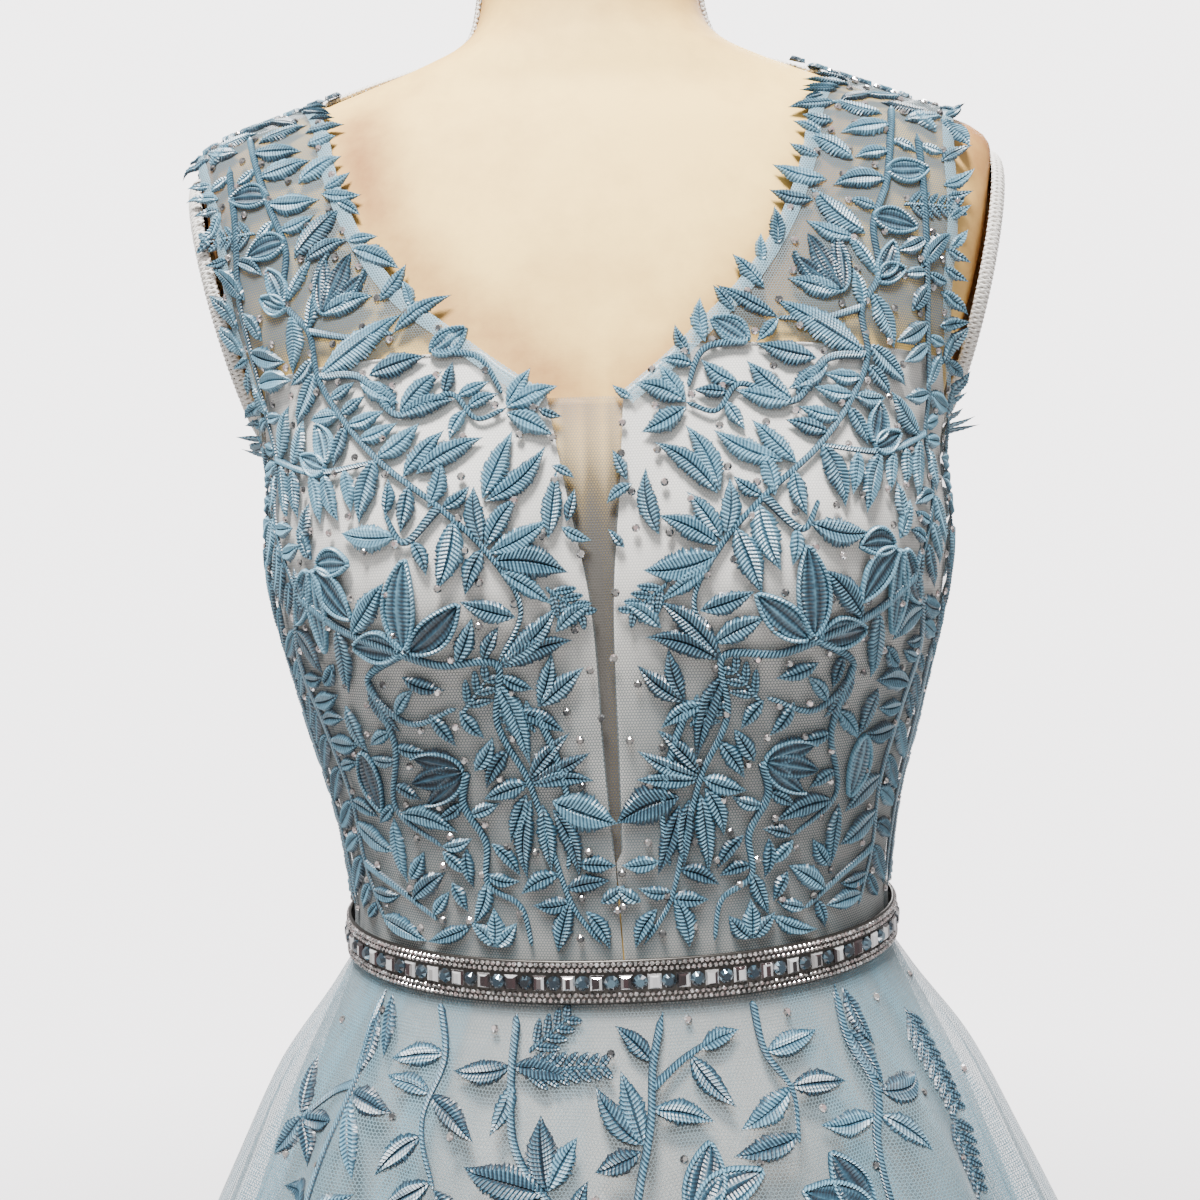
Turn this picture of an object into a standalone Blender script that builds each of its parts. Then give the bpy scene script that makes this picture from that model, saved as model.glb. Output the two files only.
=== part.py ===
# Prom dress on a limbless dress form. An embroidered net bodice with wide
# straps lies over a lining, a stone belt sits on the waist seam, and two tulle
# layers hang over a slip. Metres, +Z up, the front faces -Y, and the origin is
# on the floor under the middle of the hem.

import math

import bpy
import numpy as np
from mathutils import Vector
from mathutils.geometry import delaunay_2d_cdt

# Driving sizes
WAIST_Z = 1.040
GAP = 0.0003
NECK_TOP = 0.560
FORM_BOTTOM = -0.270
HEM_DROP = 1.025
FRONT_DIP = 0.012

# Layer offsets from the form
LINING_IN = 0.0008
LINING_OUT = 0.0018
NET_WALL = 0.0010
NET_ON_LINING = 0.0033
NET_ON_FORM = 0.0022
FORM_TUCK = 0.0009
LEAF_RAISE = 0.0016
STEM_RAISE = 0.0012
LEAF_SIDES = ((0.0, 0.0), (0.30, 0.47), (0.66, 0.40), (1.0, 0.0))
STEM_HALF = 0.0021
SKIRT_WALL = 0.0010
BELT_IN = 0.0054
BELT_WALL = 0.0016
BELT_HALF = 0.0087
STONE_RAISE = 0.0014
STONE_PAIRS = 60

# Dress form, rows from the bottom up. The first column is the distance along
# the side, the rest are height over the waist, half width, front depth, back
# depth and squareness.
FORM_ROWS = [
    (-0.270, -0.270, 0.146, 0.088, 0.104, 2.20),
    (-0.200, -0.200, 0.164, 0.100, 0.120, 2.30),
    (-0.100, -0.100, 0.146, 0.097, 0.108, 2.30),
    (-0.040, -0.040, 0.127, 0.091, 0.090, 2.20),
    (0.000, 0.000, 0.1205, 0.089, 0.084, 2.20),
    (0.050, 0.050, 0.1255, 0.093, 0.086, 2.20),
    (0.100, 0.100, 0.1390, 0.101, 0.094, 2.25),
    (0.160, 0.160, 0.1525, 0.108, 0.104, 2.35),
    (0.210, 0.210, 0.1525, 0.106, 0.110, 2.35),
    (0.250, 0.250, 0.1650, 0.099, 0.110, 2.25),
    (0.290, 0.290, 0.1830, 0.090, 0.104, 2.10),
    (0.325, 0.324, 0.1930, 0.079, 0.094, 1.90),
    (0.345, 0.342, 0.1920, 0.072, 0.088, 1.80),
    (0.365, 0.354, 0.1830, 0.066, 0.082, 1.70),
    (0.391, 0.3625, 0.1600, 0.062, 0.076, 1.70),
    (0.434, 0.3755, 0.1200, 0.059, 0.069, 1.75),
    (0.464, 0.3850, 0.0900, 0.057, 0.064, 1.85),
    (0.484, 0.3930, 0.0700, 0.055, 0.059, 1.95),
    (0.500, 0.4030, 0.0575, 0.0535, 0.055, 2.00),
    (0.525, 0.4260, 0.0505, 0.0515, 0.052, 2.00),
    (0.560, 0.4600, 0.0495, 0.050, 0.050, 2.00),
]

# Bust fullness added to the front
BUST_X = 0.082
BUST_Z = 0.152
BUST_FULL = 0.019
BUST_WIDE = 0.050
BUST_TALL = 0.062

# Arm plates: a leaning plane trims the sides of the form
PLATE_FOOT_Z = 0.215
PLATE_FOOT_X = 0.1540
PLATE_LEAN = 0.23
PLATE_SOFT = 0.0015
PLATE_Z = 0.282
PLATE_HALF_DEEP = 0.041
PLATE_HALF_TALL = 0.064
PLATE_THICK = 0.004

# Skirt, rows down from the waist: drop, slip half width, slip front depth,
# slip back depth, squareness, tulle spread, overlay spread, fold depth
SKIRT_ROWS = [
    (0.000, 0.1205, 0.0890, 0.0840, 2.20, 0.0037, 0.0050, 0.0000),
    (0.010, 0.1207, 0.0890, 0.0840, 2.20, 0.0037, 0.0050, 0.0000),
    (0.028, 0.1280, 0.0960, 0.0920, 2.20, 0.0050, 0.0076, 0.0008),
    (0.065, 0.1420, 0.1120, 0.1110, 2.20, 0.0088, 0.0158, 0.0038),
    (0.120, 0.1580, 0.1290, 0.1340, 2.20, 0.0130, 0.0250, 0.0070),
    (0.210, 0.1860, 0.1590, 0.1660, 2.15, 0.0170, 0.0360, 0.0110),
    (0.380, 0.2390, 0.2150, 0.2230, 2.05, 0.0220, 0.0490, 0.0170),
    (0.660, 0.3230, 0.3040, 0.3110, 2.00, 0.0290, 0.0640, 0.0230),
    (1.025, 0.4230, 0.4100, 0.4140, 2.00, 0.0340, 0.0780, 0.0290),
]
FOLDS = 16
HEM_REACH = 0.500

# Cut lines, half width and height over the waist
V_EDGE = [(0.0003, 0.050), (0.0020, 0.083), (0.0045, 0.145), (0.0100, 0.184), (0.0145, 0.2215)]
FRONT_NECK = [(0.0145, 0.2215), (0.031, 0.234), (0.048, 0.249), (0.0676, 0.268), (0.084, 0.292),
              (0.0957, 0.319), (0.103, 0.346)]
FRONT_ARM = [(0.167, 0.337), (0.160, 0.299), (0.154, 0.264), (0.149, 0.236)]
BACK_NECK = [(0.0003, 0.214), (0.014, 0.221), (0.047, 0.252), (0.078, 0.295), (0.097, 0.338)]
BACK_ARM = [(0.167, 0.340), (0.160, 0.304), (0.153, 0.266), (0.149, 0.236)]

# The dress sits a little askew: how far its middle lies to the left, by height
SKEW_ROWS = [(0.00, 0.0), (0.05, 0.0025), (0.145, 0.0045), (0.22, 0.008), (0.27, 0.012),
             (0.40, 0.012)]
ARM_SKEW = 0.006
STRAP_NECK_X = 0.109
STRAP_ARM_X = 0.170
ARMPIT = 0.210
LINING_TOP_FRONT = 0.240
LINING_TOP_BACK = 0.204
INSERT_TOP = 0.2205
INSERT_FOOT = 0.054

# Stems of the front embroidery, half width and height in millimetres
FRONT_STEMS = [
    [(150, 350), (139, 328), (134, 300), (131, 270), (114, 248), (98, 224), (86, 197), (62, 171), (42, 146), (30, 130)],
    [(136, 196), (112, 190), (86, 197)],
    [(122, 140), (96, 124), (66, 122), (48, 131), (43, 106), (48, 84), (34, 56), (22, 34)],
    [(130, 96), (104, 84), (78, 70), (64, 46), (46, 28)],
]
BACK_STEMS = [
    [(148, 352), (138, 322), (132, 290), (118, 262), (98, 236), (84, 206), (66, 176), (46, 150), (34, 124)],
    [(134, 188), (108, 184), (84, 206)],
    [(120, 130), (92, 118), (62, 122), (50, 92), (52, 60), (34, 34)],
]

# Leaves: half width and height of the foot in millimetres, direction in
# degrees (0 outward, 90 up), length and width in millimetres
FRONT_LEAVES = [
    (150, 354, 60, 26, 13), (136, 346, 120, 30, 13), (142, 326, 15, 28, 13),
    (132, 314, 150, 30, 13), (136, 296, -5, 30, 12), (128, 286, 165, 34, 14),
    (130, 268, -35, 30, 12), (104, 240, 172, 36, 14), (112, 240, -20, 34, 13),
    (60, 226, 158, 30, 13), (98, 214, 175, 38, 13), (120, 192, 75, 28, 15),
    (74, 184, 195, 34, 12), (56, 166, 105, 34, 13), (48, 156, 190, 30, 12),
    (126, 146, 35, 30, 15), (126, 146, 105, 30, 15), (126, 146, 180, 30, 15),
    (126, 146, 265, 30, 15), (84, 128, 60, 30, 15), (84, 128, 130, 30, 15),
    (38, 136, 60, 28, 12), (46, 110, 195, 36, 13), (92, 92, 15, 28, 18),
    (48, 84, 215, 36, 14), (48, 84, 262, 38, 14), (48, 84, 310, 36, 14),
    (76, 66, 10, 34, 13), (62, 44, -25, 34, 12), (104, 56, -100, 30, 12),
]
BACK_LEAVES = [
    (150, 354, 60, 26, 13), (134, 344, 125, 30, 13), (138, 320, 10, 28, 13),
    (130, 304, 150, 32, 13), (120, 264, 160, 34, 14), (112, 246, -20, 34, 13),
    (94, 232, 150, 34, 13), (78, 192, 170, 36, 13), (116, 186, 70, 28, 15),
    (62, 172, 120, 34, 13), (122, 132, 40, 30, 15), (122, 132, 110, 30, 15),
    (122, 132, 180, 30, 15), (60, 118, 150, 32, 13), (50, 92, 200, 34, 13),
    (52, 76, -10, 34, 13), (50, 58, 240, 32, 13), (112, 60, -90, 30, 12),
]

# Stand
POLE_R = 0.0145
BASE_R = 0.190
BASE_THICK = 0.022
COLLAR_R = 0.034
COLLAR_TALL = 0.040

# Sampling
LEVEL_STEP = 0.005
QUARTER = 48
PANEL_STEP = (0.016, 0.027)


def clear_scene():
    for item in list(bpy.data.objects):
        bpy.data.objects.remove(item, do_unlink=True)


def make_material(name, colour, roughness, metallic=0.0):
    material = bpy.data.materials.new(name)
    material.use_nodes = True
    shader = material.node_tree.nodes["Principled BSDF"]
    shader.inputs["Base Color"].default_value = (*colour, 1.0)
    shader.inputs["Roughness"].default_value = roughness
    shader.inputs["Metallic"].default_value = metallic
    return material


def add_object(name, points, faces, material):
    mesh = bpy.data.meshes.new(name)
    mesh.from_pydata([tuple(map(float, p)) for p in points], [], faces)
    mesh.validate()
    mesh.update()
    item = bpy.data.objects.new(name, mesh)
    bpy.context.scene.collection.objects.link(item)
    item.data.materials.append(material)
    return item


def smooth_rows(table, where):
    """Columns of a table, read smoothly at places of its first column."""
    rows = np.array(table, dtype=float)
    keys = rows[:, 0]
    values = rows[:, 1:]
    slopes = np.gradient(values, keys, axis=0)
    where = np.clip(np.asarray(where, dtype=float), keys[0], keys[-1])
    low = np.clip(np.searchsorted(keys, where, side="right") - 1, 0, len(keys) - 2)
    span = (keys[low + 1] - keys[low])[:, None]
    s = (where - keys[low])[:, None] / span
    a = 2 * s**3 - 3 * s**2 + 1
    b = s**3 - 2 * s**2 + s
    c = -2 * s**3 + 3 * s**2
    d = s**3 - s**2
    return a * values[low] + b * span * slopes[low] + c * values[low + 1] + d * span * slopes[low + 1]


def soft_step(low, high, value):
    s = np.clip((value - low) / (high - low), 0.0, 1.0)
    return s * s * (3 - 2 * s)


def oval(angle, half_width, front, back, square):
    """Point of a squared oval; angle 0 is the centre front, pi the back."""
    power = 2.0 / square
    side = np.sin(angle)
    along = np.cos(angle)
    x = half_width * np.sign(side) * np.abs(side) ** power
    y = -np.sign(along) * np.where(along > 0, front, back) * np.abs(along) ** power
    return x, y


def waist_dip(angle, over_waist):
    """How far the waist seam sags at the front."""
    return FRONT_DIP * 0.5 * (1 + np.cos(angle)) * np.exp(-((over_waist / 0.10) ** 2))


def form_half_ring(along, row):
    """Half ring of the form from centre front to centre back, x positive."""
    rise, half_width, front, back, square = row
    angle = np.linspace(0.0, math.pi, 2 * 160 + 1)
    x, y = oval(angle, half_width, front, back, square)
    full = np.exp(-(((x - BUST_X) / BUST_WIDE) ** 2) - ((rise - BUST_Z) / BUST_TALL) ** 2)
    y = y - BUST_FULL * full * np.clip(np.cos(angle) * 4, 0, 1)
    trim = PLATE_FOOT_X + PLATE_LEAN * (rise - PLATE_FOOT_Z)
    over = x - trim
    flat = trim + 0.5 * (over - np.sqrt(over**2 + 4 * PLATE_SOFT**2))
    reach = soft_step(0.180, 0.240, rise) * soft_step(0.05, 0.10, x)
    x = x + (flat - x) * reach
    z = WAIST_Z + rise - waist_dip(angle, rise)
    return np.stack([x, y, z], axis=1)


def spread_evenly(line, count):
    """Points at even distances along a line, and the line's length."""
    steps = np.linalg.norm(np.diff(line, axis=0), axis=1)
    run = np.concatenate([[0.0], np.cumsum(steps)])
    at = np.linspace(0.0, run[-1], count + 1)
    return np.stack([np.interp(at, run, line[:, k]) for k in range(3)], axis=1), run[-1]


class Form:
    """Surface of the dress form, read by girth and height."""

    def __init__(self):
        self.levels = np.arange(FORM_BOTTOM, NECK_TOP + 0.5 * LEVEL_STEP, LEVEL_STEP)
        self.rows = smooth_rows(FORM_ROWS, self.levels)
        grid = []
        self.front_run = []
        self.back_run = []
        for along, row in zip(self.levels, self.rows):
            ring = form_half_ring(along, row)
            middle = len(ring) // 2
            front, run_f = spread_evenly(ring[:middle + 1], QUARTER)
            back, run_b = spread_evenly(ring[middle:], QUARTER)
            grid.append(np.concatenate([front, back[1:]]))
            self.front_run.append(run_f)
            self.back_run.append(run_b)
        self.grid = np.array(grid)
        self.front_run = np.array(self.front_run)
        self.back_run = np.array(self.back_run)
        self.normals = grid_normals(self.grid, mirrored=True)

    def run(self, along, back):
        return np.interp(along, self.levels, self.back_run if back else self.front_run)

    def at(self, across, along, offset, back=False):
        """Points by girth distance from the centre line, side distance and offset."""
        across = np.asarray(across, dtype=float)
        along = np.asarray(along, dtype=float)
        share = np.abs(across) / self.run(along, back)
        column = share * QUARTER
        if back:
            column = 2 * QUARTER - column
        return self.read(column, along, offset, np.where(across < 0, -1.0, 1.0))

    def read(self, column, along, offset, hand):
        level = np.clip((along - self.levels[0]) / LEVEL_STEP, 0, len(self.levels) - 1.0001)
        column = np.clip(column, 0, 2 * QUARTER - 0.0001)
        i = level.astype(int)
        j = column.astype(int)
        fi = (level - i)[:, None]
        fj = (column - j)[:, None]
        out = []
        for table in (self.grid, self.normals):
            low = table[i, j] * (1 - fj) + table[i, j + 1] * fj
            high = table[i + 1, j] * (1 - fj) + table[i + 1, j + 1] * fj
            out.append(low * (1 - fi) + high * fi)
        normal = out[1] / np.linalg.norm(out[1], axis=1)[:, None]
        points = out[0] + normal * np.broadcast_to(offset, along.shape)[:, None]
        points[:, 0] *= hand
        return points

    def chart(self, pairs, back=False):
        """Girth and side distances of places given by half width and height."""
        out = []
        for x, rise in pairs:
            along = float(np.interp(rise, self.rows[:, 0], self.levels))
            i = int(round((along - self.levels[0]) / LEVEL_STEP))
            quarter = self.grid[i, :QUARTER + 1] if not back else self.grid[i, :QUARTER - 1:-1]
            share = float(np.interp(x, quarter[:, 0], np.linspace(0, 1, QUARTER + 1)))
            out.append((share * float(self.run(along, back)), along))
        return out

    def ridge(self, x):
        """Side distance at which the shoulder line is x from the middle."""
        top = self.levels > 0.355
        return float(np.interp(-x, -self.grid[top, QUARTER, 0], self.levels[top]))


def grid_normals(grid, mirrored=False, closed=False):
    """Outward normals of a grid whose rows climb and columns run front to back."""
    if mirrored:
        flip = np.array([-1.0, 1.0, 1.0])
        wide = np.concatenate([grid[:, 1:2] * flip, grid, grid[:, -2:-1] * flip], axis=1)
        across = (wide[:, 2:] - wide[:, :-2])
    elif closed:
        across = np.roll(grid, -1, axis=1) - np.roll(grid, 1, axis=1)
    else:
        across = np.gradient(grid, axis=1)
    up = np.gradient(grid, axis=0)
    normal = np.cross(across, up)
    return normal / np.linalg.norm(normal, axis=2)[:, :, None]


def smooth_line(points, step):
    """A soft curve through points, cut into even steps."""
    points = np.array(points, dtype=float)
    run = np.concatenate([[0.0], np.cumsum(np.linalg.norm(np.diff(points, axis=0), axis=1))])
    count = max(2, int(math.ceil(run[-1] / step)))
    return smooth_rows(np.column_stack([run, points]), np.linspace(0, run[-1], count + 1))


def leaf_shape(foot, degrees, length, width):
    """Outline and vein of a pointed leaf."""
    turn = math.radians(degrees)
    ahead = np.array([math.cos(turn), math.sin(turn)])
    beside = np.array([-ahead[1], ahead[0]])
    sides = LEAF_SIDES
    outline = [foot + ahead * length * s + beside * width * w for s, w in sides]
    outline += [foot + ahead * length * s - beside * width * w for s, w in reversed(sides[1:-1])]
    vein = [foot + ahead * length * s for s in (0.30, 0.66)]
    return np.array(outline), np.array(vein), (foot, ahead, beside, length, width)


def leaf_height(points, frame):
    """Raise of the stitching of one leaf at chart points."""
    foot, ahead, beside, length, width = frame
    s = (points - foot) @ ahead / length
    v = np.abs((points - foot) @ beside)
    half = np.interp(s, *zip(*LEAF_SIDES)) * width
    inside = (s > 0) & (s < 1) & (v < half)
    return np.where(inside, LEAF_RAISE * np.clip(1.6 * (1 - v / np.maximum(half, 1e-6)), 0, 1), 0.0)


def stem_height(points, line):
    """Raise of a corded stem at chart points."""
    best = np.zeros(len(points))
    for a, b in zip(line[:-1], line[1:]):
        span = b - a
        s = np.clip((points - a) @ span / (span @ span), 0, 1)
        away = np.linalg.norm(points - (a + s[:, None] * span), axis=1)
        best = np.maximum(best, STEM_RAISE * np.clip(1.3 * (1 - away / STEM_HALF), 0, 1))
    return best


def stem_shape(line):
    """Two edges of a stem that runs along a line."""
    ahead = np.gradient(line, axis=0)
    ahead /= np.linalg.norm(ahead, axis=1)[:, None]
    beside = np.column_stack([-ahead[:, 1], ahead[:, 0]])
    half = STEM_HALF * np.linspace(1.0, 0.6, len(line))[:, None]
    return np.concatenate([line + beside * half, (line - beside * half)[::-1]])


def in_polygon(points, polygon):
    x = points[:, 0]
    y = points[:, 1]
    inside = np.zeros(len(points), dtype=bool)
    for (ax, ay), (bx, by) in zip(polygon, np.roll(polygon, -1, axis=0)):
        if ay == by:
            continue
        crossing = ((ay > y) != (by > y)) & (x < (bx - ax) * (y - ay) / (by - ay) + ax)
        inside ^= crossing
    return inside


def far_from(points, polygons, distance):
    """Mask of points that keep a distance from every polygon edge."""
    keep = np.ones(len(points), dtype=bool)
    for polygon in polygons:
        for a, b in zip(polygon, np.roll(polygon, -1, axis=0)):
            span = b - a
            size = span @ span
            if size < 1e-12:
                continue
            s = np.clip((points - a) @ span / size, 0, 1)
            keep &= np.linalg.norm(points - (a + s[:, None] * span), axis=1) > distance
    return keep


def triangulate(points, edges):
    """Triangles over points that keep the given edges."""
    made = delaunay_2d_cdt([Vector(map(float, p)) for p in points], edges, [], 0, 2e-5, False)
    return np.array([tuple(v) for v in made[0]]), [tuple(f) for f in made[2]]


def loop_edges(start, count, closed=True):
    edges = [(start + k, start + k + 1) for k in range(count - 1)]
    if closed:
        edges.append((start + count - 1, start))
    return edges


def cloth_panel(outline, place, inner, wall, leaves=(), stems=(), clamp=None, step=PANEL_STEP):
    """Closed wall of cloth over a chart outline, raised along stitched motifs.

    place(chart points, offset) gives space points; inner(chart points) gives
    the offset of the inside.
    """
    polygons = [np.array(outline)]
    lines = []
    frames = []
    stem_lines = []
    for leaf in leaves:
        edge, vein, frame = leaf_shape(*leaf)
        polygons.append(clamp(edge) if clamp else edge)
        lines.append(clamp(vein) if clamp else vein)
        frames.append(frame)
    for stem in stems:
        line = clamp(stem) if clamp else stem
        polygons.append(clamp(stem_shape(line)) if clamp else stem_shape(line))
        lines.append(line)
        stem_lines.append(line)
    low = np.min([p.min(axis=0) for p in polygons], axis=0)
    high = np.max([p.max(axis=0) for p in polygons], axis=0)
    xs = np.arange(low[0] + step[0] / 2, high[0], step[0])
    ys = np.arange(low[1] + step[1] / 2, high[1], step[1])
    grid = np.array([(x, y) for x in xs for y in ys])
    in_outline = grid[in_polygon(grid, polygons[0])]
    outer_grid = in_outline[far_from(in_outline, polygons, 0.0045)]

    points = []
    edges = []
    for shape in polygons:
        edges += loop_edges(len(points), len(shape))
        points += list(shape)
    for line in lines:
        edges += loop_edges(len(points), len(line), closed=False)
        points += list(line)
    points += list(outer_grid)
    flat, faces = triangulate(points, edges)
    middles = np.array([flat[list(f)].mean(axis=0) for f in faces])
    covered = np.zeros(len(faces), dtype=bool)
    for shape in polygons:
        covered |= in_polygon(middles, shape)
    faces = [f for f, kept in zip(faces, covered) if kept]
    flat, faces = drop_unused(flat, faces)

    height = np.zeros(len(flat))
    for frame in frames:
        height = np.maximum(height, leaf_height(flat, frame))
    for line in stem_lines:
        height = np.maximum(height, stem_height(flat, line))
    rim = open_edges(faces)
    rim_points = sorted({v for edge in rim for v in edge})
    height[rim_points] = 0.0

    rim_index = {v: k for k, v in enumerate(rim_points)}
    under = [flat[v] for v in rim_points]
    clear = in_outline[far_from(in_outline, [flat[[a, b]] for a, b in rim], 0.006)]
    under_edges = [(rim_index[a], rim_index[b]) for a, b in rim]
    under_flat, under_faces = triangulate(under + list(clear), under_edges)
    middles = np.array([under_flat[list(f)].mean(axis=0) for f in under_faces])
    covered = np.zeros(len(under_faces), dtype=bool)
    for shape in polygons:
        covered |= in_polygon(middles, shape)
    under_faces = [f for f, kept in zip(under_faces, covered) if kept]

    base_out = inner(flat)
    base_in = inner(under_flat)
    top = place(flat, base_out + wall + height)
    bottom = place(under_flat, base_in)
    count = len(top)
    solid = [tuple(f) for f in faces]
    solid += [tuple(count + v for v in reversed(f)) for f in under_faces]
    for a, b in rim:
        ua = count + rim_index[a]
        ub = count + rim_index[b]
        solid.append((b, a, ua))
        solid.append((b, ua, ub))
    return np.concatenate([top, bottom]), solid


def drop_unused(points, faces):
    used = sorted({v for f in faces for v in f})
    index = {v: k for k, v in enumerate(used)}
    return points[used], [tuple(index[v] for v in f) for f in faces]


def open_edges(faces):
    """Edges with one face, in that face's own direction."""
    seen = {}
    for f in faces:
        for a, b in zip(f, f[1:] + f[:1]):
            seen[(a, b)] = seen.get((a, b), 0) + 1
    return [(a, b) for (a, b) in seen if (b, a) not in seen]


def flip_faces(faces):
    return [tuple(reversed(f)) for f in faces]


def shell(outer, inner, closed):
    """Closed wall between two grids of as many columns; rows climb."""
    columns = outer.shape[1]
    half = len(outer) * columns
    points = np.concatenate([outer.reshape(-1, 3), inner.reshape(-1, 3)])
    last = columns if closed else columns - 1
    faces = []

    def corner(row, column, base):
        return base + row * columns + column % columns

    for column in range(last):
        for row in range(len(outer) - 1):
            a, b = corner(row, column, 0), corner(row, column + 1, 0)
            c, d = corner(row + 1, column + 1, 0), corner(row + 1, column, 0)
            faces += [(a, b, c), (a, c, d)]
        for row in range(len(inner) - 1):
            a, b = corner(row, column, half), corner(row, column + 1, half)
            c, d = corner(row + 1, column + 1, half), corner(row + 1, column, half)
            faces += [(a, c, b), (a, d, c)]
        a, b = corner(0, column, 0), corner(0, column + 1, 0)
        c, d = corner(0, column + 1, half), corner(0, column, half)
        faces += [(a, d, c), (a, c, b)]
        a, b = corner(len(outer) - 1, column, 0), corner(len(outer) - 1, column + 1, 0)
        c, d = corner(len(inner) - 1, column + 1, half), corner(len(inner) - 1, column, half)
        faces += [(a, b, c), (a, c, d)]
    if not closed:
        for column, first in ((0, True), (columns - 1, False)):
            if len(outer) == len(inner):
                for row in range(len(outer) - 1):
                    a, d = corner(row, column, 0), corner(row + 1, column, 0)
                    b, c = corner(row, column, half), corner(row + 1, column, half)
                    sides = [(a, d, c), (a, c, b)]
                    faces += sides if first else flip_faces(sides)
                continue
            rim = [corner(row, column, 0) for row in range(len(outer))]
            rim += [corner(row, column, half) for row in reversed(range(len(inner)))]
            pivot = rim[-1]
            for a, b in zip(rim[:-2], rim[1:-1]):
                faces.append((pivot, a, b) if first else (pivot, b, a))
    return points, faces


def turned(rings):
    """Solid from rings of points, closed at both ends with a middle point."""
    rings = np.array(rings)
    rows, columns = rings.shape[:2]
    points = list(rings.reshape(-1, 3)) + [rings[0].mean(axis=0), rings[-1].mean(axis=0)]
    faces = []
    for row in range(rows - 1):
        for column in range(columns):
            a = row * columns + column
            b = row * columns + (column + 1) % columns
            faces += [(a, b, b + columns), (a, b + columns, a + columns)]
    foot = rows * columns
    for column in range(columns):
        after = (column + 1) % columns
        faces.append((foot, after, column))
        top = (rows - 1) * columns
        faces.append((foot + 1, top + column, top + after))
    return points, faces


def round_rings(profile, segments, centre=(0.0, 0.0)):
    angle = np.linspace(0, 2 * math.pi, segments, endpoint=False)
    return [np.column_stack([centre[0] + r * np.cos(angle), centre[1] + r * np.sin(angle),
                             np.full(segments, z)]) for r, z in profile]


def net_offset(points):
    """The net lies on the lining below and settles on the form at the straps."""
    s = soft_step(0.246, 0.301, points[:, 1])
    return NET_ON_LINING * (1 - s) + NET_ON_FORM * s


def fixed_offset(value):
    return lambda points: np.full(len(points), value)


def side_line(form, start, end, back, inset, step=0.016):
    """Seam along the side of the form between two side distances."""
    count = max(1, int(round(abs(end - start) / step)))
    along = np.linspace(start, end, count + 1)
    return [(float(form.run(t, back)) - inset, float(t)) for t in along]


def joined(*lines):
    """Lines joined head to tail without doubled points."""
    out = []
    for line in lines:
        for point in line:
            point = (float(point[0]), float(point[1]))
            if not out or math.dist(out[-1], point) > 0.0006:
                out.append(point)
    if math.dist(out[0], out[-1]) < 0.0006:
        out.pop()
    return np.array(out)


def neck_skew(rise, hand, back):
    """Shift of a piece's inner cut away from its own side's middle line."""
    if back:
        return -hand * float(np.interp(0.40, *zip(*SKEW_ROWS)) * soft_step(0.22, 0.35, rise))
    return -hand * float(np.interp(rise, *zip(*SKEW_ROWS)))


def arm_skew(rise, hand):
    return -hand * ARM_SKEW * float(soft_step(0.225, 0.27, rise) + soft_step(0.31, 0.352, rise))


def inner_cut(pairs, hand, back):
    return [(x + neck_skew(z, hand, back), z) for x, z in pairs]


def outer_cut(pairs, hand):
    return [(x + arm_skew(z, hand), z) for x, z in pairs]


def make_clamp(form, hand, back):
    """Keeps motifs off the belt, the centre line and the side seam."""
    top = form.ridge(STRAP_NECK_X + neck_skew(0.38, hand, back))

    def clamp(points):
        points = np.array(points, dtype=float)
        points[:, 1] = np.clip(points[:, 1], 0.0125, top)
        limit = form.run(points[:, 1], back) - 0.0012
        near = 0.0060
        if not back:
            near = 0.0014 + np.array([neck_skew(t, hand, back) for t in points[:, 1]])
        points[:, 0] = np.clip(points[:, 0], near, limit)
        return points
    return clamp


def vee_line(form, hand, seam):
    """Edge of the sheer insert on one side, from its foot up."""
    line = form.chart(inner_cut(V_EDGE, hand, False))
    return smooth_line(line, 0.015) + np.array([seam, 0.0])


def front_centre(hand, low, inset):
    """Centre front seam from the waist to the foot of the insert."""
    rises = np.linspace(low, V_EDGE[0][1], 4)[:-1]
    return [(neck_skew(t, hand, False) + inset, t) for t in rises]


def bodice_outline(form, hand, back):
    """Cut of one net panel in the chart, from the waist centre round."""
    neck, arm = (BACK_NECK, BACK_ARM) if back else (FRONT_NECK, FRONT_ARM)
    top = form.ridge(STRAP_NECK_X + neck_skew(0.38, hand, back))
    tip = form.ridge(STRAP_ARM_X + arm_skew(0.38, hand))
    waist = GAP / 2
    half = GAP / 2
    if back:
        centre_top = BACK_NECK[0][1]
        count = int(round((centre_top - waist) / 0.016))
        centre = [(GAP, t) for t in np.linspace(waist, centre_top, count + 1)]
    else:
        centre = joined(front_centre(hand, waist, GAP), vee_line(form, hand, 0.0))
    edge = form.chart(inner_cut(neck, hand, back), back)
    throat = smooth_line(edge + [(float(form.run(top, back)) - half, top)], 0.015)
    shoulder = side_line(form, top, tip, back, half, 0.014)
    arm_line = smooth_line([(float(form.run(tip, back)) - half, tip)]
                           + form.chart(outer_cut(arm, hand), back)
                           + [(float(form.run(ARMPIT, back)) - half, ARMPIT)], 0.015)
    side = side_line(form, ARMPIT, waist, back, half)
    start = centre[0][0]
    width = float(form.run(waist, back)) - half
    foot = [(start + (width - start) * s, waist) for s in np.linspace(1, 0, 9)[1:-1]]
    return joined(centre, throat, shoulder, arm_line, side, foot)


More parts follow.
